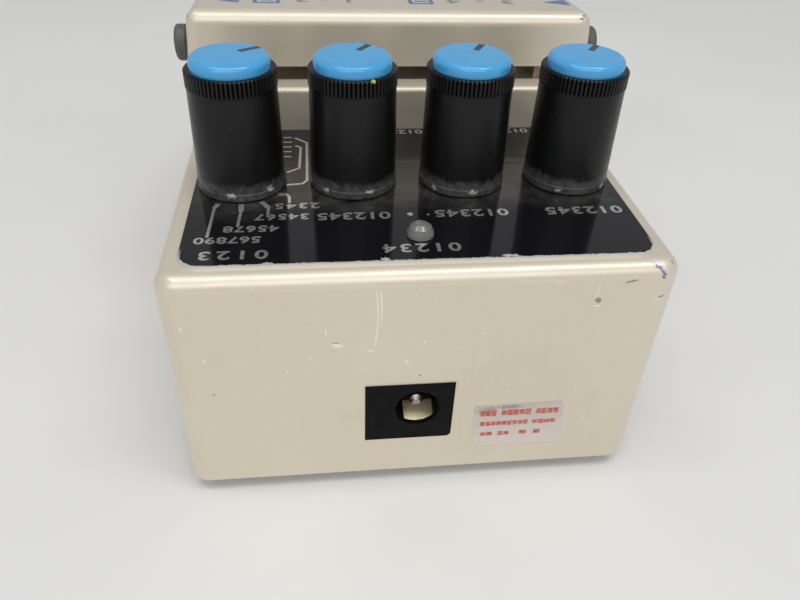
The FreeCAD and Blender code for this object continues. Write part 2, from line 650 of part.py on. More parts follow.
def make_casing():
    """The die-cast casing: deck, crest, trough, falling top, bay, cups and lugs."""
    body = new_body("casing")
    half = d.casing_width / 2
    crest_end = d.crest_place + d.crest_thick
    outline = new_sketch(body, "YZ_Plane")
    draw_polygon(outline, [
        (REAR, d.lip_height),
        (REAR + d.rear_lean, d.deck_height),
        (along(d.crest_place), d.deck_height),
        (along(d.crest_place), d.crest_height),
        (along(crest_end), d.crest_height),
        (along(d.crest_foot_place), d.trough_height),
        (along(d.fall_place), d.trough_height),
        (along(d.front_place), d.front_height),
        (along(d.foot_place), d.lip_height),
    ])
    pad(body, outline, d.casing_width, both=True)

    # the hollow for the boards, jacks and controls, open below
    inner_width = d.casing_width - d.wall * 2
    ceiling = d.deck_height - d.wall
    step = d.crest_place + d.wall
    hollow = new_sketch(body, "YZ_Plane")
    draw_polygon(hollow, [
        (along(d.wall), d.lip_height - BEYOND),
        (along(d.wall), ceiling),
        (along(step), ceiling),
        (along(step), d.trough_height - d.wall),
        (along(d.fall_place), d.trough_height - d.wall),
        (along(d.bulkhead_place), casing_top(d.bulkhead_place) - d.wall),
        (along(d.bulkhead_place), d.lip_height - BEYOND),
    ])
    pocket(body, hollow, inner_width, both=True)

    # the spring's cup and the plunger's guide hang from the falling top
    cup = new_sketch(body, "XY_Plane", d.spring_floor - d.cup_wall)
    draw_circle(cup, 0.0, along(d.spring_place), d.cup_radius + d.cup_wall)
    pad(body, cup, d.trough_height - d.spring_floor + d.cup_wall)
    guide_low = d.plunger_low + d.guide_gap
    guide = new_sketch(body, "XY_Plane", guide_low)
    draw_circle(guide, d.plunger_across, along(d.spring_place), d.plunger_radius + d.guide_wall)
    pad(body, guide, d.trough_height - guide_low)
    above = new_sketch(body, "YZ_Plane")
    draw_polygon(above, [
        (along(d.fall_place), d.trough_height),
        (along(d.front_place), d.front_height),
        (along(d.front_place), d.treadle_height),
        (along(d.fall_place), d.treadle_height),
    ])
    pocket(body, above, d.casing_width, both=True)
    cup_hole = new_sketch(body, "XY_Plane", d.spring_floor)
    draw_circle(cup_hole, 0.0, along(d.spring_place), d.cup_radius)
    pocket(body, cup_hole, d.deck_height, back=True)
    guide_hole = new_sketch(body, "XY_Plane", d.plunger_low)
    guide_radius = d.plunger_radius + d.running_gap
    draw_circle(guide_hole, d.plunger_across, along(d.spring_place), guide_radius)
    pocket(body, guide_hole, d.deck_height, back=True)

    # the battery's bay, open upwards
    bay = new_sketch(body, "XY_Plane", d.bay_floor)
    draw_rounded(bay, d.bay_left, along(d.bay_rear), d.bay_right, along(d.bay_front),
                 d.bay_round)
    pocket(body, bay, d.deck_height, back=True)
    lead_hole = new_sketch(body, "XZ_Plane", -along(d.bay_rear + 1))
    draw_circle(lead_hole, LEAD_ACROSS, d.lead_height, d.lead_hole_radius)
    pocket(body, lead_hole, d.wall + 2, back=True)

    # hinge lugs that reach over the trough from its front
    eyes = new_sketch(body, "YZ_Plane", d.lug_inner)
    draw_circle(eyes, along(d.hinge_place), d.hinge_height, d.lug_radius)
    eye = pad(body, eyes, d.lug_thick)
    legs = new_sketch(body, "YZ_Plane", d.lug_inner)
    draw_polygon(legs, [
        (along(d.lug_leg_rear), d.trough_height - 1),
        (along(d.lug_leg_rear), d.hinge_height + 2),
        (along(d.lug_leg_rear + 1.6), d.hinge_height),
        (along(d.lug_leg_front), d.trough_height + 1),
        (along(d.lug_leg_front), d.trough_height - 1),
    ])
    leg = pad(body, legs, d.lug_thick)
    mirrored(body, [eye, leg])
    bores = new_sketch(body, "YZ_Plane")
    shaft_hole = d.hinge_radius + d.running_gap
    draw_circle(bores, along(d.hinge_place), d.hinge_height, shaft_hole)
    pocket(body, bores, d.casing_width, both=True)

    # corner posts for the base screws
    posts = new_sketch(body, "XY_Plane", d.lip_height)
    for side in (-1, 1):
        across = d.foot_screw_across * side
        draw_circle(posts, across, along(d.foot_screw_rear), d.post_radius)
    pad(body, posts, ceiling - d.lip_height + 0.5)
    screw_holes = new_sketch(body, "XY_Plane", d.lip_height)
    for side in (-1, 1):
        across = d.foot_screw_across * side
        for place in (d.foot_screw_rear, d.foot_screw_front):
            draw_circle(screw_holes, across, along(place), d.thread_radius)
    pocket(body, screw_holes, d.thread_deep, back=True)

    # openings for the power socket, the audio jacks, the controls and the lamp
    socket = new_sketch(body, "XZ_Plane", -REAR + BEYOND)
    draw_polygon(socket, socket_outline())
    pocket(body, socket, d.wall + BEYOND * 2)
    jacks = new_sketch(body, "YZ_Plane")
    for place in (d.jack_rear, d.jack_front):
        draw_circle(jacks, along(place), d.jack_height, d.jack_snout)
    pocket(body, jacks, d.casing_width + 2, both=True)
    controls = new_sketch(body, "XY_Plane", d.deck_height + BEYOND)
    for across in KNOB_PLACES.values():
        draw_circle(controls, across, along(d.knob_row), d.bushing_radius + d.control_clearance)
    draw_circle(controls, 0.0, along(d.lamp_place), d.lamp_radius + d.running_gap)
    pocket(body, controls, d.wall + BEYOND * 2)

    # the guide bush's window in the front wall
    window = new_sketch(body, "XZ_Plane", -along(d.foot_place))
    draw_rounded(window, *guide_bush_outline())
    last = pocket(body, window, d.foot_place - d.bay_front + BEYOND, back=True)

    last = fillet(body, last, d.corner_radius, lambda p, way: (
        near(abs(p.x), half) and abs(way.z) > 0.98 and (
            p.y < float(REAR) + 1 or p.y > float(along(d.front_place)))
    ))
    last = fillet(body, last, d.edge_radius, lambda p, way: (
        near(p.z, d.deck_height) and p.y < float(along(d.crest_place)) - 1
        and (near(abs(p.x), half, 1.3) or near(p.y, REAR + d.rear_lean, 1.3))
    ))
    last = fillet(body, last, d.crest_end_round, lambda p, way: (
        near(abs(p.x), half) and p.z > float(d.trough_height) + 0.5 and abs(way.y) > 0.8
    ))
    last = fillet(body, last, d.crest_round, lambda p, way: (
        near(p.z, d.crest_height) and abs(way.x) > 0.9
    ))
    fillet(body, last, d.fall_round, lambda p, way: (
        near(abs(p.x), half) and p.y > float(along(d.fall_place))
        and p.z > float(d.front_height) and abs(way.z) > 0.3 and abs(way.y) > 0.3
    ))
    return node(body)


def make_base():
    """The steel base plate, the rubber mat under it and the four screws."""
    half = d.casing_width / 2
    front = along(d.foot_place)
    screws = []
    plate = new_body("base_plate")
    outline = new_sketch(plate, "XY_Plane", d.lip_height - d.base_thick)
    draw_rounded(outline, d.base_inset - half, REAR + d.base_inset,
                 half - d.base_inset, front - d.base_inset, d.base_round)
    pad(plate, outline, d.base_thick)
    mat = new_body("base_mat")
    sheet_outline = new_sketch(mat, "XY_Plane")
    draw_rounded(sheet_outline, d.mat_inset - half, REAR + d.mat_inset,
                 half - d.mat_inset, front - d.mat_inset, d.base_round)
    pad(mat, sheet_outline, d.lip_height - d.base_thick)
    plate_holes = new_sketch(plate, "XY_Plane")
    mat_holes = new_sketch(mat, "XY_Plane")
    for side in (-1, 1):
        for place in (d.foot_screw_rear, d.foot_screw_front):
            across = d.foot_screw_across * side
            draw_circle(plate_holes, across, along(place), d.base_hole_radius)
            draw_circle(mat_holes, across, along(place), d.mat_hole_radius)
            shank_low = d.lip_height - d.base_thick
            head = rod(f"foot_head_{len(screws)}", d.base_head_radius,
                       (across, along(place), d.base_head_low), shank_low - d.base_head_low)
            shank = rod(f"foot_shank_{len(screws)}", d.base_shank_radius,
                        (across, along(place), shank_low), d.thread_deep)
            screws.append(boolean("Fuse", f"foot_screw_{len(screws)}", head, shank))
    pocket(plate, plate_holes, d.lip_height * 2, back=True)
    pocket(mat, mat_holes, d.lip_height * 2, back=True)
    node(plate)
    node(mat)
    node(group("base_screws", screws))


def make_name_plate():
    """The thin aluminium plate on the deck, with holes for controls and lamp."""
    body = new_body("name_plate")
    outline = new_sketch(body, "XY_Plane", d.deck_height)
    draw_rounded(outline, -d.plate_half_width, along(d.plate_rear),
                 d.plate_half_width, along(d.plate_front), d.plate_round)
    pad(body, outline, d.plate_thick)
    holes = new_sketch(body, "XY_Plane", d.deck_height + BEYOND)
    for across in KNOB_PLACES.values():
        draw_circle(holes, across, along(d.knob_row), d.bushing_radius + d.control_clearance)
    draw_circle(holes, 0.0, along(d.lamp_place), d.lamp_radius + d.running_gap)
    pocket(body, holes, BEYOND * 2)
    return node(body)


def make_treadle():
    """The cast treadle: shoulder, slope, toe, skirts, spring base and pusher."""
    body = new_body("treadle")
    half = d.casing_width / 2
    skirt_drop = TREADLE_FALL * (d.skirt_break - d.shoulder_end + 1)
    outline = new_sketch(body, "YZ_Plane")
    draw_polygon(outline, [
        (along(d.treadle_rear), d.treadle_lip),
        (along(d.treadle_rear), d.treadle_height),
        (along(d.shoulder_end), SHOULDER_HEIGHT),
        (along(d.toe_place), d.toe_height),
        (along(d.toe_foot_place), d.toe_foot_height),
        (along(d.skirt_return), d.toe_foot_height),
        (along(d.skirt_break), d.treadle_lip - skirt_drop),
        (along(d.shoulder_end - 1), d.treadle_lip),
    ])
    last = pad(body, outline, d.casing_width, both=True)
    last = fillet(body, last, d.shoulder_round, lambda p, way: (
        abs(way.x) > 0.9 and near(p.z, SHOULDER_HEIGHT)
    ))
    last = fillet(body, last, d.toe_radius, lambda p, way: (
        abs(way.x) > 0.9 and near(p.z, d.toe_height)
    ))

    # the sides lean in towards the top, along the shoulder and down the slope
    rise = d.treadle_height - d.treadle_lip
    for angle in (0.0, float(SLOPE_TURN)):
        sides = new_sketch(body, "XZ_Plane", -along(d.shoulder_end - 1))
        foot = Vector(0, float(d.treadle_lip), sides.AttachmentOffset.Base.z)
        sides.AttachmentOffset = Placement(foot, Rotation(Vector(1, 0, 0), angle))
        bind(sides, ".AttachmentOffset.Base.y", d.treadle_lip)
        for side in (-1, 1):
            draw_polygon(sides, [
                (half * side, 0.0),
                ((half - d.treadle_draft) * side, rise),
                ((half + BEYOND) * side, rise),
                ((half + BEYOND) * side, 0.0),
            ])
        last = pocket(body, sides, d.total_length * 2, both=True)
    last = fillet(body, last, d.rear_corner, lambda p, way: (
        near(p.y, along(d.treadle_rear)) and abs(way.z) > 0.9
    ))
    last = fillet(body, last, d.treadle_round, lambda p, way: (
        p.z > float(d.toe_foot_height) + 5 and (
            near(p.y, along(d.treadle_rear), 1.5) and near(p.z, d.treadle_height)
            or abs(p.x) > float(half) - 1.2 and p.z > float(treadle_edge(p.y)) - 2.5)
    ))

    # the hollow under the top, between the skirts
    inside = d.treadle_wall * 0.9
    under = d.treadle_wall / math.cos(SLOPE_ANGLE)
    rear_inner = d.treadle_rear + inside
    shoulder_under = d.treadle_height - d.treadle_wall
    inner_toe = d.toe_place - inside
    hollow = new_sketch(body, "YZ_Plane")
    draw_polygon(hollow, [
        (along(rear_inner), d.front_height),
        (along(rear_inner), shoulder_under - 0.15),
        (along(d.shoulder_end - 0.7), shoulder_under - d.shoulder_drop),
        (along(inner_toe), treadle_top(inner_toe) - under),
        (along(d.toe_foot_place - d.treadle_wall + 0.5), d.toe_foot_height - 4),
        (along(d.bay_front), d.toe_foot_height - 4),
    ])
    pocket(body, hollow, d.casing_width - d.treadle_wall * 2, both=True)

    # spring base and switch pusher under the slope, cut off level with its top
    top_inside = treadle_top(d.spring_place) + 1.0
    ring = new_sketch(body, "XY_Plane", d.spring_seat)
    draw_circle(ring, 0.0, along(d.spring_place), d.spring_mean_radius + d.spring_ring_wall)
    pad(body, ring, top_inside - d.spring_seat)
    spigot = new_sketch(body, "XY_Plane", d.spring_seat - d.spigot_long)
    draw_circle(spigot, 0.0, along(d.spring_place), d.spring_mean_radius - 1.0)
    pad(body, spigot, d.spigot_long + 0.5)
    pusher_low = d.plunger_top + d.pusher_gap
    pusher = new_sketch(body, "XY_Plane", pusher_low)
    draw_circle(pusher, d.plunger_across, along(d.spring_place), d.pusher_radius)
    pad(body, pusher, top_inside - pusher_low)
    recess = new_sketch(body, "XY_Plane")
    tilt(recess, ".AttachmentOffset", d.shoulder_end, -d.tread_sink)
    draw_rounded(recess, -d.tread_half_width, -d.tread_front, d.tread_half_width,
                 -d.tread_rear, d.tread_corner)
    pocket(body, recess, 6.0, back=True)

    # round faces for the thumbscrew on the lip, inside and outside
    boss = new_sketch(body, "XZ_Plane", -along(d.lip_spotface))
    draw_circle(boss, 0.0, d.screw_height, d.lip_boss_radius)
    pad(body, boss, d.lip_spotface - d.lip_boss_rear)
    thread = new_sketch(body, "XZ_Plane", -along(d.toe_foot_place + 1))
    draw_circle(thread, 0.0, d.screw_height, d.screw_radius + d.running_gap)
    pocket(body, thread, 12.0, back=True)

    # seats for the hinge bushes in the skirts
    seats = new_sketch(body, "YZ_Plane")
    draw_circle(seats, along(d.hinge_place), d.hinge_height, d.bush_radius)
    pocket(body, seats, d.casing_width + BEYOND * 2, both=True)
    return node(body)


def make_tread():
    """The grooved rubber tread that lies in the treadle's recess."""
    body = new_body("rubber_tread")
    tilt(body, ".Placement", d.shoulder_end, -d.tread_sink)
    outline = new_sketch(body, "XY_Plane")
    draw_rounded(outline, -d.tread_half_width, -d.tread_front, d.tread_half_width,
                 -d.tread_rear, d.tread_corner)
    slab = pad(body, outline, d.tread_thick)
    chamfer(body, slab, d.tread_edge, lambda p, way: near(p.z, d.tread_thick))
    rows_long = d.tread_front - d.tread_rear - d.groove_first * 2 - d.groove_wide
    strip = new_sketch(body, "XY_Plane", d.tread_thick + BEYOND)
    first = d.groove_first - d.tread_front
    end = d.tread_half_width - d.groove_margin
    draw_rounded(strip, -end, first, end, first + d.groove_wide, d.groove_wide * 0.45)
    groove = pocket(body, strip, d.groove_deep + BEYOND)
    rows = body.newObject("PartDesign::LinearPattern", "tread_rows")
    rows.Originals = [groove]
    rows.Direction = (origin_part(body, "Y_Axis"), [""])
    set_size(rows, "Length", rows_long)
    rows.Occurrences = round(float(d.tread_grooves))
    bind(rows, "Occurrences", d.tread_grooves)
    body.Tip = rows
    return node(body)


def make_hinge():
    """The hinge shaft through the lugs, and the two capped bushes in the skirts."""
    outer = d.casing_width / 2
    inner = outer - d.treadle_wall - 0.3
    reach = d.bush_span / 2
    end = outer - d.shaft_end_gap
    bore = d.hinge_radius + d.running_gap
    shaft = rod("hinge_shaft", d.hinge_radius, (-end, along(d.hinge_place), d.hinge_height),
                end * 2, Vector(1, 0, 0))
    node(shaft, "hinge_shaft")
    for name, side in (("left_hinge_bush", -1), ("right_hinge_bush", 1)):
        bush = new_body(name, (0.0, along(d.hinge_place), d.hinge_height))
        half = new_sketch(bush, "XZ_Plane")
        draw_polygon(half, [
            (inner * side, bore),
            (inner * side, d.bush_radius),
            (outer * side, d.bush_radius),
            (outer * side, d.bush_head_radius - 0.3),
            ((outer + 0.3) * side, d.bush_head_radius),
            (reach * side, d.bush_head_radius),
            (reach * side, 0.0),
            ((end + 0.2) * side, 0.0),
            ((end + 0.2) * side, bore),
        ])
        head = revolve(bush, half, "X_Axis")
        fillet(bush, head, d.bush_head_round, lambda p, way: near(abs(p.x), reach))
        node(bush)


def arc_from(start, tangent, end):
    """The arc from start to end that leaves along tangent, and its tangent at the end."""
    chord = end - start
    along_chord = Vector(chord).normalize()
    side = tangent - along_chord * tangent.dot(along_chord)
    half_turn = math.atan2(side.Length, tangent.dot(along_chord))
    side.normalize()
    bulge = side * (chord.Length / 2 * math.tan(half_turn / 2))
    edge = Part.Arc(start, start + chord * 0.5 + bulge, end).toShape()
    last = along_chord * math.cos(half_turn) - side * math.sin(half_turn)
    return edge, last


def biarc(start, first, end, last):
    """Two arcs that join start to end and keep both tangents."""
    span = end - start
    both = first + last
    twist = 2 * (1 - first.dot(last))
    reach = span.dot(both)
    size = (math.sqrt(reach * reach + twist * span.dot(span)) - reach) / twist
    middle = (start + first * size + end - last * size) * 0.5
    edge, tangent = arc_from(start, first, middle)
    return [edge, arc_from(middle, tangent, end)[0]]


def make_spring():
    """The coil spring between its cup and the treadle, with closer end turns."""
    radius, wire = float(d.spring_mean_radius), float(d.spring_wire)
    low = float(d.spring_floor) + wire
    high = float(d.spring_seat) - wire
    turns = round(float(d.spring_turns))
    end_pitch = 3 * wire
    inner_pitch = (high - low - 2 * end_pitch) / (turns - 2)
    steps = 4 * turns

    def height(step):
        turned = step / 4
        if turned <= 1:
            return low + end_pitch * turned
        if turned >= turns - 1:
            return high - end_pitch * (turns - turned)
        return low + end_pitch + inner_pitch * (turned - 1)

    def point(step):
        angle = math.pi / 2 * step
        return Vector(radius * math.cos(angle), radius * math.sin(angle), height(step))

    def tangent(step):
        angle = math.pi / 2 * step
        low_step, high_step = max(step - 1, 0), min(step + 1, steps)
        climb = (height(high_step) - height(low_step)) / (high_step - low_step)
        rise = climb / (radius * math.pi / 2)
        return Vector(-math.sin(angle), math.cos(angle), rise).normalize()

    edges = []
    for step in range(steps):
        edges += biarc(point(step), tangent(step), point(step + 1), tangent(step + 1))
    path = Part.Wire(edges)
    ring = Part.Wire(Part.makeCircle(wire, point(0), tangent(0)))
    coil = path.makePipeShell([ring], True, False)
    spring = doc.addObject("Part::Feature", "treadle_spring")
    spring.Shape = coil
    spring.Placement = Placement(Vector(0, float(along(d.spring_place)), 0), Rotation())
    gap = end_pitch - 2 * wire
    print("spring: length", round(path.Length, 2), "least gap", round(gap, 2),
          "volume ratio", round(coil.Volume / (path.Length * math.pi * wire ** 2), 4))
    return node(spring, "treadle_spring")


def make_thumbscrew():
    """The knurled thumbscrew, its washer and the guide bush in the front wall."""
    face = along(d.lip_spotface + d.screw_travel)
    washer = rod("washer_blank", d.washer_radius, (0.0, face, d.screw_height),
                 d.washer_thick, Vector(0, 1, 0))
    bore = rod("washer_bore", d.screw_radius + d.running_gap,
               (0.0, face - BEYOND, d.screw_height), d.washer_thick + BEYOND * 2, Vector(0, 1, 0))
    node(boolean("Cut", "thumbscrew_washer", washer, bore), "thumbscrew_washer")

    seat = face + d.washer_thick
    screw = new_body("thumbscrew", (0.0, seat, d.screw_height))
    half = new_sketch(screw, "YZ_Plane")
    tip = along(d.screw_tip) - seat
    draw_polygon(half, [
        (tip, 0.0),
        (tip, d.screw_radius - d.screw_edge),
        (tip + d.screw_edge, d.screw_radius),
        (0.0, d.screw_radius),
        (0.0, d.screw_head_radius - d.screw_edge),
        (d.screw_edge, d.screw_head_radius),
        (d.screw_head_long - d.screw_edge, d.screw_head_radius),
        (d.screw_head_long, d.screw_head_radius - d.screw_edge),
        (d.screw_head_long, 0.0),
    ])
    revolve(screw, half, "Y_Axis")
    coin_slot = new_sketch(screw, "XZ_Plane", -d.screw_head_long - BEYOND)
    end = d.screw_head_radius + BEYOND
    draw_rectangle(coin_slot, -end, -d.coin_slot_half_wide, end, d.coin_slot_half_wide)
    pocket(screw, coin_slot, d.coin_slot_deep + BEYOND, back=True)
    tooth = new_sketch(screw, "XZ_Plane", -d.screw_head_long - BEYOND)
    draw_polygon(tooth, [
        (0.0, d.screw_head_radius - d.screw_tooth_deep),
        (d.screw_tooth_half_wide * 2, d.screw_head_radius + d.screw_tooth_deep),
        (-d.screw_tooth_half_wide * 2, d.screw_head_radius + d.screw_tooth_deep),
    ])
    groove = pocket(screw, tooth, d.screw_head_long + BEYOND, back=True)
    teeth = screw.newObject("PartDesign::PolarPattern", "thumbscrew_teeth")
    teeth.Originals = [groove]
    teeth.Axis = (origin_part(screw, "Y_Axis"), [""])
    teeth.Angle = 360.0
    teeth.Occurrences = round(float(d.screw_teeth))
    bind(teeth, "Occurrences", d.screw_teeth)
    screw.Tip = teeth
    node(screw)

    bush = new_body("guide_bush")
    outline = new_sketch(bush, "XZ_Plane", -along(d.bush_face))
    draw_rounded(outline, *guide_bush_outline())
    pad(bush, outline, d.bush_face - d.bay_front)
    slot = new_sketch(bush, "XZ_Plane", -along(d.bush_face) - BEYOND)
    draw_rounded(slot, -d.slot_radius, d.slot_low, d.slot_radius, d.slot_high,
                 d.slot_radius - 0.05)
    pocket(bush, slot, d.bush_face - d.bay_front + BEYOND * 2, back=True)
    node(bush)


def make_switch():
    """The plunger in the casing, the push switch under it and its stem."""
    plunger = new_body("switch_plunger", (d.plunger_across, along(d.spring_place), 0.0))
    half = new_sketch(plunger, "XZ_Plane")
    draw_polygon(half, [
        (0.0, d.plunger_low),
        (d.plunger_radius + d.plunger_flange, d.plunger_low),
        (d.plunger_radius + d.plunger_flange, d.plunger_low + d.plunger_flange_tall),
        (d.plunger_radius, d.plunger_low + d.plunger_flange_tall),
        (d.plunger_radius, d.plunger_top - 1.2),
        (d.plunger_radius - 0.8, d.plunger_top - 0.3),
        (d.plunger_radius - 2.0, d.plunger_top),
        (0.0, d.plunger_top),
    ])
    revolve(plunger, half)
    node(plunger)

    board_top = d.jack_height - d.jack_half_tall
    switch = new_body("push_switch", (d.plunger_across, along(d.spring_place), 0.0))
    outline = new_sketch(switch, "XY_Plane", board_top)
    side = d.switch_half_wide
    draw_rectangle(outline, -side, -side, side, side)
    switch_top = d.plunger_low - d.switch_gap
    pad(switch, outline, switch_top - board_top)
    well = new_sketch(switch, "XY_Plane", switch_top)
    mouth = d.stem_half_wide + d.stem_clearance
    draw_rectangle(well, -mouth, -mouth, mouth, mouth)
    pocket(switch, well, d.plunger_travel_room)
    node(switch)
    place = along(d.spring_place)
    reach = d.stem_half_wide
    stem = block("switch_stem",
                 (d.plunger_across - reach, place - reach, switch_top - d.stem_sink),
                 (d.plunger_across + reach, place + reach, d.plunger_low))
    node(stem, "switch_stem")


def tube(points, radius, bend):
    """A round wire through the points, with an arc at each corner."""
    edges = []
    start = points[0]
    for before, corner, after in zip(points, points[1:], points[2:]):
        back = (before - corner).normalize()
        ahead = (after - corner).normalize()
        opening = back.getAngle(ahead)
        cut = bend / math.tan(opening / 2)
        first, last = corner + back * cut, corner + ahead * cut
        bisector = (back + ahead).normalize()
        middle = corner + bisector * (bend / math.sin(opening / 2) - bend)
        edges.append(Part.LineSegment(start, first).toShape())
        edges.append(Part.Arc(first, middle, last).toShape())
        start = last
    edges.append(Part.LineSegment(start, points[-1]).toShape())
    path = Part.Wire(edges)
    ring = Part.Wire(Part.makeCircle(radius, points[0], points[1] - points[0]))
    shape = path.makePipeShell([ring], True, False)
    print("lead: length", round(path.Length, 2), "volume ratio",
          round(shape.Volume / (path.Length * math.pi * radius ** 2), 4))
    return shape


def make_battery():
    """The 9 V block on its foam, with its snap connector and the two-wire lead."""
    low = d.bay_floor + d.pad_foam
    foam = block("battery_foam", (d.bay_left, along(d.bay_rear) + d.foam_margin, d.bay_floor),
                 (d.bay_right - d.foam_short, along(d.bay_front) - d.foam_margin, low))
    node(foam, "battery_foam")
    body = new_body("battery")
    outline = new_sketch(body, "YZ_Plane", d.battery_left)
    rear, top = along(d.battery_rear), low + d.battery_tall
    draw_rounded(outline, rear, low, rear + d.battery_wide, top, d.battery_round)
    case = pad(body, outline, d.battery_long)
    chamfer(body, case, d.battery_bevel, lambda p, way: (
        near(p.x, d.battery_left) or near(p.x, d.battery_left + d.battery_long)
    ))
    node(body)
    end = d.battery_left + d.battery_long
    middle = low + d.battery_tall / 2
    snaps = [
        rod(name, radius, (end, rear + place, middle), d.snap_tall, Vector(1, 0, 0))
        for name, radius, place in (
            ("male_snap", d.male_snap_radius, d.male_snap_place),
            ("female_snap", d.female_snap_radius, d.female_snap_place),
        )
    ]
    node(group("battery_snaps", snaps))
    cap = new_body("snap_connector")
    plate = new_sketch(cap, "YZ_Plane", end + d.snap_tall)
    draw_rounded(plate, rear + d.snap_cap_margin, middle - d.snap_cap_half_tall,
                 rear + d.battery_wide - d.snap_cap_margin, middle + d.snap_cap_half_tall,
                 d.snap_cap_round)
    pad(cap, plate, d.snap_cap_thick)
    node(cap)
    wires = []
    for name, side in (("red_wire", -1), ("black_wire", 1)):
        across = float(LEAD_ACROSS + d.lead_half_gap * side)
        exit_top = middle + d.snap_cap_half_tall
        rise = [float(v) for v in (rear + d.lead_exit, exit_top, d.lead_height)]
        inside = float(along(d.bulkhead_place - d.lead_end))
        board_top = float(d.jack_height - d.jack_half_tall)
        route = [
            Vector(across, rise[0], rise[1]),
            Vector(across, rise[0], rise[2]),
            Vector(across, inside, rise[2]),
            Vector(across, inside, board_top),
        ]
        wire = doc.addObject("Part::Feature", name)
        wire.Shape = tube(route, float(d.lead_radius), float(d.lead_bend))
        wires.append(wire)
    node(group("snap_lead", wires))


def treadle_edge(y):
    """Height of the treadle's top outline at the row's Y."""
    place = y - float(REAR)
    if place < float(d.shoulder_end):
        return SHOULDER_HEIGHT
    return treadle_top(d.shoulder_end + (place - float(d.shoulder_end)))


def make_controls():
    """Knobs, caps, shafts and housings of the selector and the three pots."""
    nuts = []
    pot_low = d.deck_height - d.wall - d.pot_tall
    for name, across in KNOB_PLACES.items():
        base = d.deck_height + d.knob_lift
        spot = (across, along(d.knob_row), 0.0)
        turn = getattr(d, f"{name}_turn")
        knob = new_body(f"{name}_knob", spot, turn)
        side = new_sketch(knob, "XZ_Plane")
        ring_low = d.ring_top - d.ring_tall
        draw_polygon(side, [
            (0.0, base),
            (d.knob_base_radius - 0.2, base),
            (d.knob_base_radius, base + 0.2),
            (d.knob_base_radius, base + d.knob_rim - 0.1),
            (d.knob_base_radius - 0.1, base + d.knob_rim),
            (d.knob_neck_radius, ring_low - 0.1),
            (d.ring_radius, ring_low),
            (d.ring_radius, d.ring_top - 0.2),
            (d.ring_radius - 0.2, d.ring_top),
            (0.0, d.ring_top),
        ])
        revolve(knob, side)
        seat = new_sketch(knob, "XY_Plane", d.ring_top + BEYOND)
        draw_circle(seat, 0.0, 0.0, d.cap_radius + 0.03)
        pocket(knob, seat, d.cap_sink + BEYOND)
        skirt = new_sketch(knob, "XY_Plane", base - BEYOND)
        draw_circle(skirt, 0.0, 0.0, d.knob_base_radius - d.knob_wall)
        pocket(knob, skirt, d.knob_hollow, back=True)
        hole = new_sketch(knob, "XY_Plane", base)
        draw_circle(hole, 0.0, 0.0, d.shaft_radius)
        pocket(knob, hole, d.shaft_top - base, back=True)
        tooth = new_sketch(knob, "XY_Plane", d.ring_top + BEYOND)
        outside = d.ring_radius + d.tooth_deep
        draw_polygon(tooth, [
            (d.ring_radius - d.tooth_deep, 0.0),
            (outside, d.tooth_half_wide * 2),
            (outside, d.tooth_half_wide * -2),
        ])
        groove = pocket(knob, tooth, d.ring_tall - 0.1 + BEYOND)
        teeth = knob.newObject("PartDesign::PolarPattern", f"{name}_teeth")
        teeth.Originals = [groove]
        teeth.Axis = (origin_part(knob, "Z_Axis"), [""])
        teeth.Angle = 360.0
        teeth.Occurrences = round(float(d.ring_teeth))
        bind(teeth, "Occurrences", d.ring_teeth)
        knob.Tip = teeth
        node(knob)

        cap = new_body(f"{name}_cap", spot, turn)
        cap_low = d.ring_top - d.cap_sink
        crown = new_sketch(cap, "XZ_Plane")
        draw_polygon(crown, [
            (0.0, cap_low),
            (d.cap_radius, cap_low),
            (d.cap_radius, d.cap_top - d.cap_dome),
            (0.0, d.cap_top),
        ])
        dome = revolve(cap, crown)
        fillet(cap, dome, d.cap_round, lambda p, way: near(p.z, d.cap_top - d.cap_dome))
        line = new_sketch(cap, "XY_Plane", d.cap_top + BEYOND)
        draw_rectangle(line, d.pointer_start, -d.pointer_half_wide, d.cap_radius + BEYOND,
                       d.pointer_half_wide)
        pocket(cap, line, d.pointer_deep + BEYOND)
        node(cap)

        shaft = new_body(f"{name}_shaft", spot)
        shaft_low = pot_low + d.pot_floor
        round_part = new_sketch(shaft, "XY_Plane", shaft_low)
        draw_circle(round_part, 0.0, 0.0, d.shaft_radius)
        pad(shaft, round_part, d.shaft_top - shaft_low)
        node(shaft)

        is_selector = name == "mode"
        width = d.switch_side if is_selector else d.pot_side
        housing = new_body("mode_switch" if is_selector else f"{name}_pot", spot)
        box = new_sketch(housing, "XY_Plane", pot_low)
        draw_rounded(box, width / -2, width / -2 + 0.1, width / 2, width / 2 - 0.1, 0.8)
        pad(housing, box, d.pot_tall)
        neck = new_sketch(housing, "XY_Plane", d.deck_height - d.wall)
        draw_circle(neck, 0.0, 0.0, d.bushing_radius)
        pad(housing, neck, d.bushing_top - d.deck_height + d.wall)
        bore = new_sketch(housing, "XY_Plane", shaft_low)
        draw_circle(bore, 0.0, 0.0, d.shaft_radius + d.running_gap)
        pocket(housing, bore, d.deck_height, back=True)
        node(housing)

        nut = doc.addObject("Part::Prism", f"{name}_nut_blank")
        nut.Polygon = 6
        set_size(nut, "Circumradius", d.nut_radius)
        set_size(nut, "Height", d.nut_tall)
        top = d.deck_height + d.plate_thick
        move(nut, (across, spot[1], top))
        clear = rod(f"{name}_nut_bore", d.bushing_radius, (across, spot[1], top - BEYOND),
                    d.nut_tall + BEYOND * 2)
        nuts.append(boolean("Cut", f"{name}_nut", nut, clear))
    node(group("control_nuts", nuts))


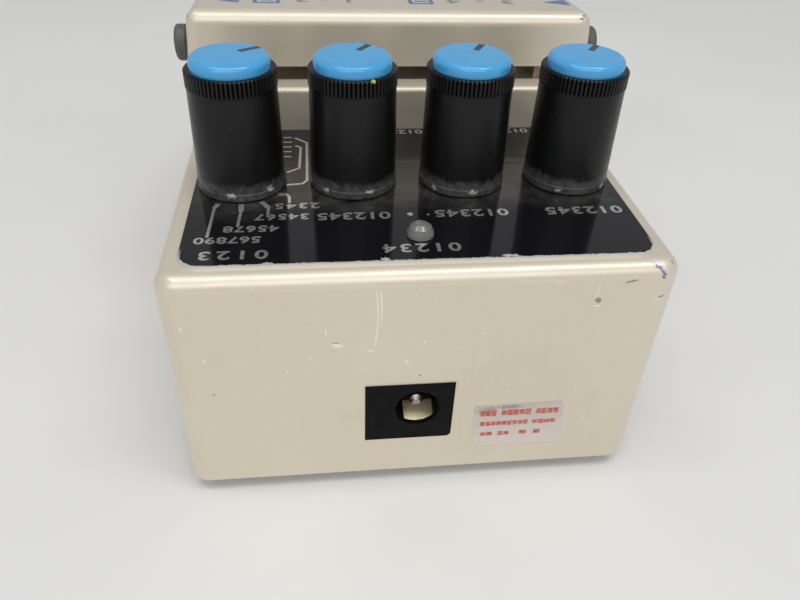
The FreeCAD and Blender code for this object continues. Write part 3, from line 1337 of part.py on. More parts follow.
def make_boards():
    """Circuit boards, chips, capacitors, lamp, spacers and insulating sheet."""
    inside = d.casing_width / 2 - d.wall - d.board_margin
    boards_front = along(d.bulkhead_place - d.board_front_gap)
    control = new_body("control_board")
    outline = new_sketch(control, "XY_Plane", d.control_board_low)
    draw_rectangle(outline, -d.control_board_half, along(d.control_board_rear),
                   d.control_board_half, along(d.control_board_front))
    pad(control, outline, d.deck_height - d.wall - d.pot_tall - d.control_board_low)
    node(control)

    main = new_body("main_board")
    shape = new_sketch(main, "XY_Plane", d.main_board_low)
    notch = d.foot_screw_across - d.notch_across
    notch_front = along(d.foot_screw_rear + d.notch_front)
    draw_polygon(shape, [
        (-notch, along(d.wall + d.board_margin)),
        (notch, along(d.wall + d.board_margin)),
        (notch, notch_front),
        (inside, notch_front),
        (inside, boards_front),
        (-inside, boards_front),
        (-inside, notch_front),
        (-notch, notch_front),
    ])
    pad(main, shape, d.board_thick)
    node(main)

    jack = new_body("jack_board")
    jack_low = d.jack_height - d.jack_half_tall - d.board_thick
    plan = new_sketch(jack, "XY_Plane", jack_low)
    draw_rectangle(plan, -inside, along(d.jack_rear - d.jack_half_width),
                   inside, boards_front)
    pad(jack, plan, d.board_thick)
    node(jack)

    board_top = d.main_board_low + d.board_thick
    chips = [
        block(name, (left, along(rear), board_top), (right, along(front), board_top + thick))
        for name, left, right, rear, front, thick in BOARD_CHIPS
    ]
    node(group("board_chips", chips))
    cans = [
        rod(f"can_{i}", d.can_radius, (across, along(place), board_top), d.can_tall)
        for i, (across, place) in enumerate(CAN_PLACES)
    ]
    node(group("board_capacitors", cans))
    header = block("board_header", (d.header_left, along(d.header_rear), board_top),
                   (d.header_right, along(d.header_front), jack_low))
    node(header, "board_header")

    film = new_body("insulating_sheet")
    film_plan = new_sketch(film, "XY_Plane", d.lip_height)
    film_half = notch - d.board_margin
    draw_rectangle(film_plan, -film_half, along(d.wall + d.film_margin), film_half,
                   along(d.bulkhead_place - d.film_margin))
    pad(film, film_plan, d.film_thick)
    node(film)
    spacer_low = d.lip_height + d.film_thick
    spacers = [
        rod(f"spacer_{float(place):.0f}_{side}", d.spacer_radius,
            (d.spacer_across * side, along(place), spacer_low), d.main_board_low - spacer_low)
        for place in (d.spacer_rear, d.spacer_front)
        for side in (-1, 1)
    ]
    node(group("board_spacers", spacers))

    lamp = new_body("indicator_lamp", (0.0, along(d.lamp_place), 0.0))
    lamp_side = new_sketch(lamp, "XZ_Plane")
    flange_top = d.deck_height - d.wall
    flange_low = flange_top - d.lamp_flange_tall
    draw_polygon(lamp_side, [
        (0.0, flange_low),
        (d.lamp_radius + d.lamp_flange, flange_low),
        (d.lamp_radius + d.lamp_flange, flange_top),
        (d.lamp_radius, flange_top),
        (d.lamp_radius, d.lamp_top - d.lamp_radius),
        (d.lamp_radius, d.lamp_top - 1.4),
        (d.lamp_radius * 0.8, d.lamp_top - 0.6),
        (d.lamp_radius * 0.45, d.lamp_top - 0.15),
        (0.0, d.lamp_top),
    ])
    revolve(lamp, lamp_side)
    node(lamp)
    control_top = d.deck_height - d.wall - d.pot_tall
    half = d.lamp_leg_half
    legs = [
        block(f"lamp_leg_{side}",
              (d.lamp_leg_across * side - half, along(d.lamp_place) - half, control_top),
              (d.lamp_leg_across * side + half, along(d.lamp_place) + half, flange_low))
        for side in (-1, 1)
    ]
    node(group("lamp_legs", legs))


def make_power_socket():
    """The power socket: moulded body, centre pin and contact leaf."""
    face = REAR + d.socket_recess
    body = new_body("power_socket")
    outline = new_sketch(body, "XZ_Plane", -face)
    draw_polygon(outline, socket_outline())
    pad(body, outline, d.socket_deep, back=True)
    hole = new_sketch(body, "XZ_Plane", -face + BEYOND)
    draw_circle(hole, d.socket_hole_place, d.socket_hole_height, d.socket_hole_radius)
    pocket(body, hole, d.socket_hole_deep + BEYOND)
    floor = d.socket_hole_height - d.socket_hole_radius - d.leaf_sink
    leaf_middle = d.socket_hole_place + d.leaf_shift
    slot_half = d.leaf_half_wide + d.running_gap
    slot = new_sketch(body, "XZ_Plane", -face - d.leaf_slot_start)
    draw_rectangle(slot, leaf_middle - slot_half, floor, leaf_middle + slot_half,
                   d.socket_hole_height - d.socket_hole_radius / 2)
    pocket(body, slot, d.socket_hole_deep - d.leaf_slot_start)
    node(body)

    back = face + d.socket_hole_deep
    pin = new_body("power_pin", (d.socket_hole_place, back, d.socket_hole_height))
    side = new_sketch(pin, "YZ_Plane")
    reach = d.socket_hole_deep - d.pin_setback
    draw_polygon(side, [
        (0.0, 0.0),
        (0.0, d.pin_radius),
        (-(reach - d.pin_bevel), d.pin_radius),
        (-reach, d.pin_radius - d.pin_bevel),
        (-reach, 0.0),
    ])
    revolve(pin, side, "Y_Axis")
    node(pin)

    # the leaf rests on the slot's floor at its back and bows up under the plug
    leaf = new_body("power_leaf", (leaf_middle, 0.0, 0.0))
    bow = new_sketch(leaf, "YZ_Plane")
    under = [
        (face + 1.2, floor + 0.2),
        (face + 4.1, floor + 1.7),
        (face + 6.4, floor + 1.7),
        (back, floor),
    ]
    over = [(place, height + d.leaf_thick) for place, height in reversed(under)]
    draw_polygon(bow, under + over)
    pad(leaf, bow, d.leaf_half_wide * 2, both=True)
    node(leaf)


def make_jacks():
    """The four audio jacks, with their tip and sleeve contacts."""
    tips = []
    sleeves = []
    corners = {
        "left_rear": (-1, d.jack_rear),
        "left_front": (-1, d.jack_front),
        "right_rear": (1, d.jack_rear),
        "right_front": (1, d.jack_front),
    }
    inner_wall = d.casing_width / 2 - d.wall
    for name, (side, place) in corners.items():
        jack = new_body(f"{name}_jack", (0.0, along(place), d.jack_height))
        box = new_sketch(jack, "XY_Plane", -d.jack_half_tall)
        ends = sorted([d.jack_inner * side, inner_wall * side], key=float)
        draw_rectangle(box, ends[0], -d.jack_half_width, ends[1], d.jack_half_width)
        pad(jack, box, d.jack_half_tall * 2)
        snout = new_sketch(jack, "YZ_Plane", inner_wall * side)
        draw_circle(snout, 0.0, 0.0, d.jack_snout)
        pad(jack, snout, d.jack_reach - inner_wall, back=side < 0)
        bore = new_sketch(jack, "YZ_Plane", d.jack_reach * side)
        draw_circle(bore, 0.0, 0.0, d.jack_bore)
        pocket(jack, bore, d.jack_reach - d.jack_inner - d.jack_back_wall, back=side < 0)
        # a window over the bore for the tip contact, and one under it for the sleeve's
        for strips, label, near_end, far_end, up in (
            (tips, "tip", d.tip_contact_start, d.tip_contact_end, True),
            (sleeves, "sleeve", d.sleeve_contact_start, d.sleeve_contact_end, False),
        ):
            slot = sorted([(d.jack_inner + near_end) * side, (d.jack_inner + far_end) * side],
                          key=float)
            start = d.jack_bore - d.window_sink
            window = new_sketch(jack, "XY_Plane", start if up else -start)
            draw_rectangle(window, slot[0], -d.window_half_wide, slot[1], d.window_half_wide)
            pocket(jack, window, d.window_deep, back=up)
            gap = d.jack_bore + d.contact_gap
            low = d.jack_height + gap if up else d.jack_height - gap - d.contact_thick
            wide = d.contact_half_wide
            strips.append(block(f"{name}_{label}", (slot[0], along(place) - wide, low),
                                (slot[1], along(place) + wide, low + d.contact_thick)))
        node(jack)
    node(group("jack_tip_contacts", tips))
    node(group("jack_sleeve_contacts", sleeves))


def main():
    make_casing()
    make_base()
    make_name_plate()
    make_treadle()
    make_tread()
    make_hinge()
    make_spring()
    make_thumbscrew()
    make_switch()
    make_controls()
    make_boards()
    make_power_socket()
    make_jacks()
    make_battery()


main()
doc.recompute()
os.makedirs("parts", exist_ok=True)
for obj in doc.Objects:
    if {"Invalid", "Error"} & set(obj.State):
        raise RuntimeError(f"{obj.Name} failed: {obj.State}")
for part in NODES:
    if part.Shape.isNull() or not part.Shape.isValid():
        raise RuntimeError(f"{part.Label} has no valid shape")
    part.Shape.exportStep(f"parts/{part.Label}.step")
    print(part.Label, round(part.Shape.Volume, 1), len(part.Shape.Solids))
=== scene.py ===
import math
import random

import bmesh
import bpy
from mathutils import Matrix, Vector
from mathutils.bvhtree import BVHTree


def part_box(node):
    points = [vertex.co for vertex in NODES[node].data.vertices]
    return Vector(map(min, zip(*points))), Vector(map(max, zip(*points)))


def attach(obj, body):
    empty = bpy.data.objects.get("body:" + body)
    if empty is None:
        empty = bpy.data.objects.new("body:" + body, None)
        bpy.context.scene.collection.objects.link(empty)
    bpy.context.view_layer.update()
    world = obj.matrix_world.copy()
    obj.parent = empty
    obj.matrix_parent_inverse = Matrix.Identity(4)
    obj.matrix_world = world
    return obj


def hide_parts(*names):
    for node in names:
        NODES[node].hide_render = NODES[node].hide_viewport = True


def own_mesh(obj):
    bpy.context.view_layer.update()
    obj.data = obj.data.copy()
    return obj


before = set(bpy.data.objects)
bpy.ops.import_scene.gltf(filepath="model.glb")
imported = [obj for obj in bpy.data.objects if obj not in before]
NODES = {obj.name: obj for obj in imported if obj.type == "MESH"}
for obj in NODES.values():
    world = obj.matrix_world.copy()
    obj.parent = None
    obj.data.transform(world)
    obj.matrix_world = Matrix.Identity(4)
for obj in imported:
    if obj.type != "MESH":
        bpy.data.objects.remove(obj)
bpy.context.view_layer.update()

MM = 0.001
KNOBS = ("mode", "time", "feedback", "level")
random.seed(7)


def corner(node, axis, high):
    """One side of a node's box, in mm."""
    low_corner, high_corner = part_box(node)
    return (high_corner if high else low_corner)[axis] / MM


REAR = corner("casing", 1, False)
PLATE_TOP = corner("name_plate", 2, True)
CAP_TOP = corner("mode_cap", 2, True)


def knob_middle(knob):
    """Middle of a knob, in mm, on the deck."""
    low_corner, high_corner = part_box(f"{knob}_knob")
    middle = (low_corner + high_corner) / 2 / MM
    return Vector((middle.x, middle.y, PLATE_TOP))


# Camera, fitted to the photograph: place in mm, turns in radians, focal length in picture widths
CAMERA_PLACE = Vector((-13.396, -137.259, 91.759))
CAMERA_YAW = 0.136
CAMERA_PITCH = -0.657
CAMERA_ROLL = 0.046
FOCAL_WIDTHS = 696.66 / 800
SENSOR_MM = 36.0


def add_camera():
    forward = Vector((math.sin(CAMERA_YAW) * math.cos(CAMERA_PITCH),
                      math.cos(CAMERA_YAW) * math.cos(CAMERA_PITCH),
                      math.sin(CAMERA_PITCH)))
    level = Vector((math.cos(CAMERA_YAW), -math.sin(CAMERA_YAW), 0))
    upright = level.cross(forward)
    across = math.cos(CAMERA_ROLL) * level + math.sin(CAMERA_ROLL) * upright
    up = math.cos(CAMERA_ROLL) * upright - math.sin(CAMERA_ROLL) * level
    data = bpy.data.cameras.new("camera")
    data.sensor_width = SENSOR_MM
    data.lens = SENSOR_MM * FOCAL_WIDTHS
    data.clip_start = 0.005
    data.clip_end = 20
    camera = bpy.data.objects.new("camera", data)
    turn = Matrix((across, up, -forward)).transposed().to_4x4()
    camera.matrix_world = Matrix.Translation(CAMERA_PLACE * MM) @ turn
    bpy.context.scene.collection.objects.link(camera)
    bpy.context.scene.camera = camera


# Ragged spots: size of the raggedness in mm, and where the edge starts and ends in half-sizes
SPOT_GRAIN = 0.35
SPOT_EDGE = (1.0, 1.3)


class Finish:
    """A principled material whose node chains work in millimetres of the part's own frame."""

    def __init__(self, name, colour, rough, metal=0.0, **sockets):
        self.material = bpy.data.materials.new(name)
        self.material.use_nodes = True
        self.tree = self.material.node_tree
        self.shader = self.tree.nodes["Principled BSDF"]
        self.put("Base Color", (*colour, 1.0))
        self.put("Roughness", rough)
        self.put("Metallic", metal)
        for socket, number in sockets.items():
            self.put(socket.replace("_", " "), number)
        self.coords = self.tree.nodes.new("ShaderNodeTexCoord").outputs["Object"]
        self.bump_normal = None

    def put(self, socket, number):
        self.shader.inputs[socket].default_value = number

    def join(self, source, target):
        self.tree.links.new(source, target)

    def node(self, kind, inputs=None, **properties):
        made = self.tree.nodes.new(kind)
        for key, setting in properties.items():
            setattr(made, key, setting)
        for key, value in (inputs or {}).items():
            if isinstance(value, bpy.types.NodeSocket):
                self.join(value, made.inputs[key])
            else:
                made.inputs[key].default_value = value
        return made

    def place(self, stretch=(1, 1, 1), turn=(0, 0, 0), shift=(0, 0, 0)):
        """The coordinates in mm, stretched so that a pattern is longer where stretch is larger."""
        scale = tuple(1 / MM / size for size in stretch)
        return self.node("ShaderNodeMapping", {"Vector": self.coords, "Scale": scale, "Rotation": turn,
                                               "Location": shift}).outputs["Vector"]

    def noise(self, size, detail=3.0, **where):
        return self.node("ShaderNodeTexNoise", {"Vector": self.place(**where), "Scale": 1 / size,
                                                "Detail": detail}).outputs["Fac"]

    def cells(self, size, feature="F1"):
        return self.node("ShaderNodeTexVoronoi", {"Vector": self.place(), "Scale": 1 / size},
                         feature=feature)

    def ramp(self, source, low, high, to_low=0.0, to_high=1.0):
        return self.node("ShaderNodeMapRange", {"Value": source, "From Min": low, "From Max": high,
                                                "To Min": to_low, "To Max": to_high}).outputs["Result"]

    def math(self, operation, first, second=0.0):
        made = self.node("ShaderNodeMath", operation=operation)
        for slot, value in enumerate((first, second)):
            if isinstance(value, bpy.types.NodeSocket):
                self.join(value, made.inputs[slot])
            else:
                made.inputs[slot].default_value = value
        return made.outputs[0]

    def blend(self, amount, first, second):
        """A colour between two colours."""
        made = self.node("ShaderNodeMix", data_type="RGBA")
        for slot, value in ((0, amount), (6, first), (7, second)):
            if isinstance(value, bpy.types.NodeSocket):
                self.join(value, made.inputs[slot])
            elif slot:
                made.inputs[slot].default_value = (*value[:3], 1.0)
            else:
                made.inputs[slot].default_value = value
        return made.outputs[2]

    def colour_from(self, socket):
        self.join(socket, self.shader.inputs["Base Color"])

    def rough_from(self, socket):
        self.join(socket, self.shader.inputs["Roughness"])

    def metal_from(self, socket):
        self.join(socket, self.shader.inputs["Metallic"])

    def most(self, masks):
        """The largest of several masks."""
        largest = masks[0]
        for mask in masks[1:]:
            largest = self.math("MAXIMUM", largest, mask)
        return largest

    def times(self, first, second):
        """The product of two values."""
        return self.math("MULTIPLY", first, second)

    def absolute(self, first, second=None):
        """The absolute value, or how far one value is from another."""
        if second is not None:
            first = self.math("SUBTRACT", first, second)
        return self.math("ABSOLUTE", first)

    def patchy(self, first, second, size, low, high, detail=4):
        """Two colours in patches of that size in mm, blended where the noise is between low and high."""
        return self.blend(self.ramp(self.noise(size, detail), low, high), first, second)

    def patchy_rough(self, size, detail, least, most):
        """Roughness between two values, in patches of that size in mm."""
        self.rough_from(self.ramp(self.noise(size, detail), 0.3, 0.7, least, most))

    def spot(self, middle, half_size, turn=(0, 0, 0), ragged=0.5):
        """1 inside a ragged spot of that half-size in mm round its middle, 0 outside it."""
        where = {"Vector": self.place(), "Location": middle, "Rotation": turn, "Scale": half_size}
        inside = self.node("ShaderNodeMapping", where, vector_type="TEXTURE")
        far = self.node("ShaderNodeVectorMath", {0: inside.outputs["Vector"]}, operation="LENGTH")
        rough_edge = self.ramp(self.noise(SPOT_GRAIN, 3), 0.3, 0.7, -ragged, ragged)
        return self.ramp(self.math("ADD", far.outputs["Value"], rough_edge), *SPOT_EDGE, 1.0, 0.0)

    def bump(self, height, depth_mm):
        """Adds a height map of that depth to those already there."""
        made = self.node("ShaderNodeBump", {"Height": height, "Strength": 1.0, "Distance": depth_mm * MM})
        if self.bump_normal is not None:
            self.join(self.bump_normal, made.inputs["Normal"])
        self.bump_normal = made.outputs["Normal"]
        self.join(self.bump_normal, self.shader.inputs["Normal"])

    def axis(self, which):
        """One coordinate in mm."""
        split = self.node("ShaderNodeSeparateXYZ", {"Vector": self.place()})
        return split.outputs[which]

    def use(self, *nodes):
        for name in nodes:
            mesh = NODES[name].data
            mesh.materials.clear()
            mesh.materials.append(self.material)


# Marks of wear on the rear face, in mm: middle across, height, half-sizes, turn in degrees
PALE_MARKS = (
    (-12.0, 28.9, 0.66, 0.34, 20), (-13.4, 31.2, 0.11, 0.45, 0), (-7.4, 27.7, 0.42, 0.13, 0),
    (23.5, 34.0, 0.42, 0.14, 0), (32.3, 34.8, 0.50, 0.16, -20), (-15.5, 26.6, 0.15, 0.13, 0),
    (0.0, 28.8, 0.22, 0.13, 0), (-1.55, 36.9, 0.06, 0.66, 40), (-2.3, 25.3, 0.10, 0.80, -24),
    (23.2, 36.7, 0.07, 1.30, 3), (-18.9, 24.5, 0.14, 0.12, 0), (-29.8, 27.0, 0.13, 0.30, 10),
    (-32.1, 32.8, 0.12, 0.24, 0), (1.1, 35.8, 0.12, 0.12, 0), (8.4, 29.8, 0.10, 0.20, 30),
    (17.6, 38.0, 0.60, 0.08, 0), (26.0, 12.0, 0.10, 0.55, 20), (-22.0, 14.0, 0.30, 0.07, 15),
)
DARK_MARKS = (
    (27.6, 37.9, 0.80, 0.15, -10), (-12.1, 29.25, 0.46, 0.10, 12), (32.5, 35.1, 0.40, 0.15, -20),
    (23.5, 34.9, 0.30, 0.38, 0), (-29.3, 20.8, 0.12, 0.16, 0), (-0.3, 22.6, 0.12, 0.12, 0),
)
# Two long scratches side by side, each bent round a far middle: across, height, radius, low, high
ARCS = ((-39.0, 33.6, 32.55, 27.9, 37.6), (-39.0, 34.2, 33.05, 31.9, 37.5))
# A worn crescent at the deck's right corner, and small nicks with their half-sizes
CHIP = (
    (31.0, -64.7, 39.9), (31.4, -65.0, 39.8), (31.7, -65.3, 39.5),
    (32.0, -65.6, 39.1), (31.9, -65.8, 38.7),
)
CHIP_HALF_SIZE = (0.48, 0.6, 0.34)
CHIP_SHADE_HALF_SIZE = (0.30, 0.6, 0.16)
CHIP_SHADE_SHIFT = (0.05, -0.1, -0.34)
CHIP_TURN = 35
NICKS = (
    ((33.3, -64.4, 39.8), (0.22, 0.22, 0.15)), ((32.3, -17.2, 58.0), (0.30, 0.4, 0.18)),
    ((32.75, -16.8, 58.35), (0.25, 0.4, 0.15)), ((-33.9, -16.3, 57.8), (0.20, 0.3, 0.25)),
)

# How far the cream paint mirrors like metal, for the pearl in it
PEARL = 0.36


def cream_paint():
    """Pearly cream enamel with a glossy skin, cloudy and a little stained, with chips and scratches."""
    paint = Finish("cream paint", (0.67, 0.60, 0.47), 0.38, PEARL, Coat_Weight=0.9,
                   Coat_Roughness=0.18)
    base = paint.patchy((0.690, 0.618, 0.492), (0.655, 0.580, 0.452), 24, 0.35, 0.68, 5)
    flake = paint.ramp(paint.cells(0.22).outputs["Color"], 0.0, 1.0)
    base = paint.blend(paint.times(flake, 0.10), base, (0.92, 0.88, 0.80))
    stain = paint.ramp(paint.noise(6.5, 6, shift=(3, 1, 8)), 0.60, 0.74)
    base = paint.blend(paint.times(stain, 0.14), base, (0.47, 0.40, 0.29))
    speck = paint.ramp(paint.noise(0.9, 2, shift=(4, 4, 4)), 0.76, 0.80)
    base = paint.blend(paint.times(speck, 0.45), base, (0.25, 0.21, 0.16))

    def marks(rows):
        return paint.most([paint.spot((x, REAR, z), (wide, 3, tall), (0, math.radians(turn), 0))
                           for x, z, wide, tall, turn in rows])

    height = paint.axis(2)
    arcs = []
    for across, middle, radius, low, high in ARCS:
        on_face = {0: paint.place(stretch=(1, 1e6, 1)), 1: (across, 0, middle)}
        far = paint.node("ShaderNodeVectorMath", on_face, operation="DISTANCE").outputs["Value"]
        line = paint.ramp(paint.absolute(far, radius), 0.05, 0.13, 1.0, 0.0)
        ends = paint.times(paint.ramp(height, low, low + 1.5),
                           paint.ramp(height, high, high + 0.2, 1.0, 0.0))
        arcs.append(paint.times(line, ends))
    on_rear = paint.ramp(paint.axis(1), REAR + 1.0, REAR + 1.2, 1.0, 0.0)
    arc = paint.times(paint.most(arcs), on_rear)
    pale = paint.most([marks(PALE_MARKS), arc])
    base = paint.blend(paint.times(pale, 0.75), base, (0.93, 0.89, 0.81))
    dark = marks(DARK_MARKS)
    base = paint.blend(paint.times(dark, 0.85), base, (0.17, 0.145, 0.10))
    lean = (0, math.radians(CHIP_TURN), 0)
    chip = paint.most([paint.spot(middle, CHIP_HALF_SIZE, lean, 0.3) for middle in CHIP])
    under = paint.most([paint.spot(tuple(a + b for a, b in zip(middle, CHIP_SHADE_SHIFT)),
                                   CHIP_SHADE_HALF_SIZE, lean, 0.3) for middle in CHIP])
    nicks = paint.most([paint.spot(middle, half_size) for middle, half_size in NICKS])
    base = paint.blend(paint.times(nicks, 0.8), base, (0.16, 0.145, 0.135))
    base = paint.blend(under, base, (0.20, 0.185, 0.21))
    bare = paint.times(chip, paint.math("SUBTRACT", 1.0, under))
    paint.colour_from(paint.blend(bare, base, (0.62, 0.62, 0.66)))
    flat = paint.most([dark, nicks, under])
    paint.metal_from(paint.ramp(flat, 0.0, 1.0, PEARL, 0.0))

    hairline = paint.noise(0.7, 2, stretch=(1, 1, 26))
    slanted = paint.noise(0.6, 2, stretch=(22, 1, 1), turn=(0, 0.5, 0.4))
    scratch = paint.math("MAXIMUM", paint.ramp(hairline, 0.66, 0.70), paint.ramp(slanted, 0.68, 0.72))
    rough = paint.ramp(paint.noise(4, 4), 0.3, 0.7, 0.36, 0.46)
    paint.rough_from(paint.math("ADD", rough, paint.times(scratch, 0.12)))
    paint.bump(paint.noise(2.2, 2), 0.010)
    paint.bump(paint.noise(0.35, 2), 0.0015)
    paint.bump(scratch, -0.003)
    paint.bump(paint.most([pale, dark, bare, under]), -0.03)
    paint.use("casing", "treadle")


# Radius of the plate's corners, in mm
PLATE_ROUND = 3.0
# Dust round each knob: thick at the first distance from its middle, in mm, and gone at the second
DUST_RING = (6.6, 12.0)
# Chips in the plate's rear rim, in mm: across, place from its rear edge, half-sizes
PLATE_CHIPS = (
    (-5.4, 0.55, 0.5, 0.3), (11.0, 0.6, 0.7, 0.25), (12.0, 0.45, 0.4, 0.3), (-20.5, 0.4, 0.6, 0.2),
)


def black_plate():
    """Gloss black lacquer on metal, worn bare along its rear rim, with a film of dust."""
    lacquer = (0.0065, 0.0065, 0.0075)
    plate = Finish("name plate", lacquer, 0.12, Specular_IOR_Level=0.40)
    low_corner, high_corner = (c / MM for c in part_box("name_plate"))
    along = plate.axis(1)
    across = plate.absolute(plate.axis(0))
    side_over = plate.math("MAXIMUM", plate.math("SUBTRACT", across, high_corner.x - PLATE_ROUND), 0.0)
    rear_over = plate.math("MAXIMUM", plate.math("SUBTRACT", low_corner.y + PLATE_ROUND, along), 0.0)
    corner_far = plate.math("SQRT", plate.math("ADD", plate.math("POWER", side_over, 2.0),
                                               plate.math("POWER", rear_over, 2.0)))
    edge = plate.math("SUBTRACT", PLATE_ROUND, corner_far)
    ragged = plate.ramp(plate.noise(0.55, 4), 0.3, 0.7, -0.10, 0.12)
    near_rear = plate.ramp(along, low_corner.y + 1.5, low_corner.y + 4.5, 1.0, 0.0)
    worn = plate.times(plate.ramp(plate.math("ADD", edge, ragged), 0.24, 0.34, 1.0, 0.0), near_rear)
    side_wall = plate.ramp(plate.axis(2), PLATE_TOP - 0.06, PLATE_TOP - 0.02, 1.0, 0.0)
    side_wall = plate.times(side_wall, near_rear)
    chips = [plate.spot((x, low_corner.y + place, PLATE_TOP), (wide, long, 1))
             for x, place, wide, long in PLATE_CHIPS]
    bare = plate.most([worn, side_wall] + chips)

    rings = []
    for knob in KNOBS:
        ends = {0: plate.place(), 1: knob_middle(knob)}
        offset = plate.node("ShaderNodeVectorMath", ends, operation="DISTANCE")
        rings.append(plate.ramp(offset.outputs["Value"], *DUST_RING, 1.0, 0.0))
    film = plate.times(plate.most(rings), plate.ramp(plate.noise(2.6, 5), 0.30, 0.72))
    film = plate.times(film, plate.ramp(plate.noise(0.30, 3), 0.30, 0.70, 0.55, 1.0))
    fluff = plate.ramp(plate.noise(0.20, 2, shift=(9, 9, 2)), 0.74, 0.79)
    dust = plate.math("MAXIMUM", plate.times(film, 0.20), plate.times(fluff, 0.30))
    colour = plate.blend(dust, lacquer, (0.33, 0.315, 0.285))
    plate.colour_from(plate.blend(bare, colour, (0.74, 0.73, 0.70)))
    plate.metal_from(plate.times(bare, 0.6))
    rough = plate.math("ADD", plate.ramp(plate.noise(3, 5), 0.3, 0.7, 0.06, 0.12),
                       plate.times(dust, 0.6))
    plate.rough_from(plate.math("MAXIMUM", rough, plate.times(bare, 0.42)))
    plate.bump(plate.noise(5, 2), 0.004)
    plate.bump(bare, -0.02)
    plate.use("name_plate")


# On a knob, in mm: how tall its top ring and its foot's rim are, and the heights of its two ends
RING_TALL = 2.3
RIM_TALL = 1.2
RIM_LOW = corner("mode_knob", 2, False)
RING_TOP = corner("mode_knob", 2, True)
# A yellow speck on a knob's ring
YELLOW_SPECK = (-5.9, -47.0, RING_TOP - 0.1)
# Painted glints: pale spots low on the knobs where the lamps glint on the foot, in mm: middle, half-sizes
PAINTED_GLINTS = (
    ((-26.1, -47.7, 41.9), (0.55, 0.5, 0.30)), ((-20.7, -46.0, 42.1), (0.32, 0.5, 0.40)),
    ((-12.6, -46.2, 41.8), (0.40, 0.5, 0.30)), ((-6.2, -47.4, 42.0), (0.45, 0.5, 0.28)),
    ((3.6, -45.4, 41.5), (0.35, 0.5, 0.30)), ((9.05, -47.7, 41.7), (0.55, 0.5, 0.28)),
    ((22.2, -47.1, 41.5), (0.35, 0.5, 0.25)), ((29.4, -46.1, 41.5), (0.35, 0.5, 0.30)),
)


def knob_black():
    """Satin moulding: a grey foot of dust and painted sheen, painted glints low down, a darker ring at the
    top, a few specks.
    """
    base = (0.0048, 0.0050, 0.0052)
    knob = Finish("knob black", base, 0.34, Specular_IOR_Level=0.27)
    height = knob.math("ADD", knob.axis(2), knob.ramp(knob.noise(1.1, 4), 0.3, 0.7, -0.45, 0.45))
    # Grey foot band: part dust, part painted sheen where the foot's chamfer reflects the plate and lamps
    foot = knob.ramp(height, RIM_LOW + RIM_TALL + 0.6, RIM_LOW + RIM_TALL + 1.6, 1.0, 0.0)
    cloudy = knob.ramp(knob.noise(0.9, 4, shift=(5, 5, 5)), 0.32, 0.70, 0.45, 1.0)
    dust = knob.times(knob.times(foot, 0.19), cloudy)
    # Painted glints: pale spots where the lamps glint on the foot, also raised a little by a bump
    painted_glints = knob.most([knob.spot(middle, half_size, ragged=0.7) for middle, half_size in PAINTED_GLINTS])
    speck = knob.ramp(knob.noise(0.36, 3, shift=(7, 6, 1)), 0.73, 0.76, 0.0, 0.22)
    ring_low = RING_TOP - RING_TALL
    ring = knob.ramp(knob.axis(2), ring_low, ring_low + 0.05)
    # The pale colour: dust with painted sheen on the foot, the painted glints, and specks
    pale = knob.most([dust, knob.times(painted_glints, 0.85), speck])
    body = knob.blend(ring, base, (0.0035, 0.0035, 0.0037))
    colour = knob.blend(pale, body, (0.40, 0.40, 0.40))
    yellow = knob.spot(YELLOW_SPECK, (0.25, 0.5, 0.25), ragged=0.2)
    knob.colour_from(knob.blend(yellow, colour, (0.62, 0.50, 0.04)))
    knob.patchy_rough(2.5, 4, 0.28, 0.40)
    knob.bump(knob.noise(0.5, 3), 0.003)
    knob.bump(painted_glints, 0.02)
    knob.use(*[f"{name}_knob" for name in KNOBS])


def cap_blue():
    """Gloss blue moulding with fine rub marks."""
    cap = Finish("cap blue", (0.062, 0.350, 0.665), 0.24, IOR=1.52)
    colour = cap.patchy((0.058, 0.340, 0.655), (0.070, 0.365, 0.680), 4, 0.35, 0.7)
    wear = cap.ramp(cap.noise(0.5, 3, stretch=(5, 1, 1), turn=(0, 0, 0.6)), 0.68, 0.74, 0.0, 0.16)
    cap.colour_from(cap.blend(wear, colour, (0.45, 0.62, 0.74)))
    cap.patchy_rough(1.4, 4, 0.10, 0.22)
    cap.bump(cap.noise(1.0, 3), 0.008)
    cap.bump(cap.noise(0.22, 2), 0.0016)
    cap.use(*[f"{name}_cap" for name in KNOBS])


def moulded(name, colour, rough, nodes, grain=0.4, depth=0.006, shine=0.5):
    """A plain black or coloured moulding with a fine grain."""
    made = Finish(name, colour, rough, Specular_IOR_Level=shine)
    pale = tuple(min(1.0, 1.3 * part + 0.02 * shine ** 2) for part in colour)
    made.colour_from(made.patchy(colour, pale, 2.2, 0.35, 0.75))
    made.patchy_rough(1.3, 3, rough - 0.06, rough + 0.08)
    made.bump(made.noise(grain, 3), depth)
    made.use(*nodes)


def plated(name, colour, rough, nodes):
    """Bare or plated metal with fine marks and a little tarnish."""
    made = Finish(name, colour, rough, 1.0)
    dull = tuple(0.72 * part for part in colour)
    made.colour_from(made.patchy(colour, dull, 1.8, 0.4, 0.75, 5))
    marks = made.noise(0.25, 3)
    made.rough_from(made.ramp(marks, 0.3, 0.7, rough - 0.07, rough + 0.10))
    made.bump(marks, 0.002)
    made.use(*nodes)
    return made


def rubber():
    """Dusty black rubber."""
    made = Finish("black rubber", (0.030, 0.030, 0.031), 0.74)
    dust = made.ramp(made.noise(5, 6), 0.42, 0.72, 0.0, 0.28)
    fine = made.ramp(made.noise(0.4, 4), 0.55, 0.75, 0.0, 0.16)
    dust = made.math("ADD", dust, fine)
    made.colour_from(made.blend(dust, (0.026, 0.026, 0.027), (0.17, 0.165, 0.155)))
    made.patchy_rough(1.5, 3, 0.66, 0.84)
    made.bump(made.noise(0.28, 3), 0.012)
    made.use("rubber_tread", "base_mat")


